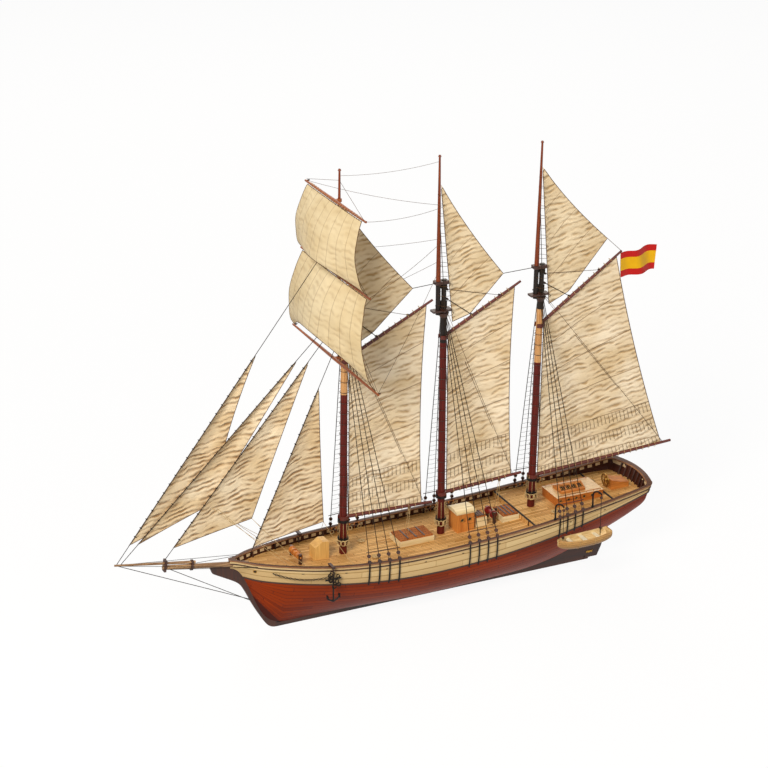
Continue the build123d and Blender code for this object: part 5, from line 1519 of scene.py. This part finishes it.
class SCHOONER_OT_stage(Worker, bpy.types.Operator):
    """Set up a pale floor, soft studio light and the camera"""

    bl_idname = "schooner.stage"
    bl_label = "Stage"

    # Each light's name, place, power in watts and width
    LIGHTS = (("key", (-2.2, -2.0, 2.3), 128.0, 1.2), ("fill", (1.6, -2.6, 1.2), 26.0, 2.5),
              ("back", (0.8, 2.4, 2.2), 34.0, 2.0))

    def build(self, settings):
        bpy.context.scene.view_settings.view_transform = "Standard"
        self.floor()
        self.world()
        self.lights()
        camera = bpy.data.cameras.new("camera")
        camera.lens = 111.1
        camera.sensor_width = 36.0
        camera.clip_end = 50.0
        spot, aim = (-1.1699, -2.3445, 1.3610), Vector((0.39045, 0.83732, -0.38268))
        bpy.context.scene.camera = self.hold("camera", camera, spot, aim)

    def hold(self, name, data, spot, aim):
        """Puts a camera or a light in its place, looking along aim"""
        holder = bpy.data.objects.new(name, data)
        holder.location = spot
        holder.rotation_euler = aim.to_track_quat("-Z", "Y").to_euler()
        bpy.context.scene.collection.objects.link(holder)
        return holder

    def floor(self):
        """White to the camera, so that it runs into the backdrop, but it keeps the object's shadow"""
        mesh = bmesh.new()
        bmesh.ops.create_grid(mesh, x_segments=8, y_segments=8, size=6.0)
        data = bpy.data.meshes.new("floor")
        mesh.to_mesh(data)
        mesh.free()
        floor = bpy.data.objects.new("floor", data)
        bpy.context.scene.collection.objects.link(floor)
        surface = Surface("studio floor", 0.9, specular=0.0)
        seen = seen_white(surface.tree)
        surface.set("Base Color", seen.mix("#9C948A", "#FFFFFF"))
        glow = add_node(surface.tree, "ShaderNodeEmission", {"Color": colour("#FFFFFF"), "Strength": 1.0})
        mixed = add_node(surface.tree, "ShaderNodeMixShader",
                         {0: seen * 0.92, 1: surface.shader.outputs[0], 2: glow.outputs[0]})
        surface.tree.links.new(mixed.outputs[0], surface.tree.nodes["Material Output"].inputs["Surface"])
        data.materials.append(surface.material)

    def world(self):
        """White backdrop that lights the object as a grey one"""
        world = bpy.data.worlds.new("studio")
        world.use_nodes = True
        tree = world.node_tree
        background = tree.nodes["Background"]
        tree.links.new(seen_white(tree).mix("#8E9196", "#FFFFFF"), background.inputs["Color"])
        background.inputs["Strength"].default_value = 1.0
        bpy.context.scene.world = world

    def lights(self):
        """Three soft lights aimed at the middle of the ship"""
        target = Vector((-0.05, 0, 0.25))
        for name, spot, power, size in self.LIGHTS:
            light = bpy.data.lights.new(name, "AREA")
            light.energy = power
            light.size = size
            light.color = colour("#FFF4E4")[:3]
            self.hold(name, light, spot, target - Vector(spot))


OPERATORS = (
    SCHOONER_OT_finishes,
    SCHOONER_OT_gaff_sails,
    SCHOONER_OT_topsails,
    SCHOONER_OT_headsails,
    SCHOONER_OT_square_sails,
    SCHOONER_OT_flag,
    SCHOONER_OT_ratlines,
    SCHOONER_OT_running_rigging,
    SCHOONER_OT_deck_gear,
    SCHOONER_OT_hull_gear,
    SCHOONER_OT_stage,
)


class SCHOONER_PT_panel(bpy.types.Panel):
    """Lists the schooner's operators and settings"""

    bl_label = "Model schooner"
    bl_idname = "SCHOONER_PT_panel"
    bl_space_type = "VIEW_3D"
    bl_region_type = "UI"
    bl_category = "Schooner"

    def draw(self, context):
        for name in SchoonerSettings.__annotations__:
            self.layout.prop(context.scene.schooner, name)
        for operator in OPERATORS:
            self.layout.operator(operator.bl_idname)


def register():
    bpy.utils.register_class(SchoonerSettings)
    for operator in OPERATORS:
        bpy.utils.register_class(operator)
    bpy.utils.register_class(SCHOONER_PT_panel)
    bpy.types.Scene.schooner = bpy.props.PointerProperty(type=SchoonerSettings)


def unregister():
    del bpy.types.Scene.schooner
    bpy.utils.unregister_class(SCHOONER_PT_panel)
    for operator in reversed(OPERATORS):
        bpy.utils.unregister_class(operator)
    bpy.utils.unregister_class(SchoonerSettings)


def main():
    register()
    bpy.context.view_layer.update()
    bpy.ops.schooner.finishes()
    bpy.ops.schooner.gaff_sails()
    bpy.ops.schooner.topsails()
    bpy.ops.schooner.headsails()
    bpy.ops.schooner.square_sails()
    bpy.ops.schooner.flag()
    bpy.ops.schooner.ratlines()
    bpy.ops.schooner.running_rigging()
    bpy.ops.schooner.deck_gear()
    bpy.ops.schooner.hull_gear()
    bpy.ops.schooner.stage()
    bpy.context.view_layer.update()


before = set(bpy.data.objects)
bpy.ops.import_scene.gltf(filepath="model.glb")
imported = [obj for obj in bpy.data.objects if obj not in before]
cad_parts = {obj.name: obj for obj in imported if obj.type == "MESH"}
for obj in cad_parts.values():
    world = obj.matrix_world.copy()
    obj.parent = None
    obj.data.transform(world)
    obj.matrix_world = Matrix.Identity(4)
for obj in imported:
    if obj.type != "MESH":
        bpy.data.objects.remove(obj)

if __name__ == "__main__":
    main()
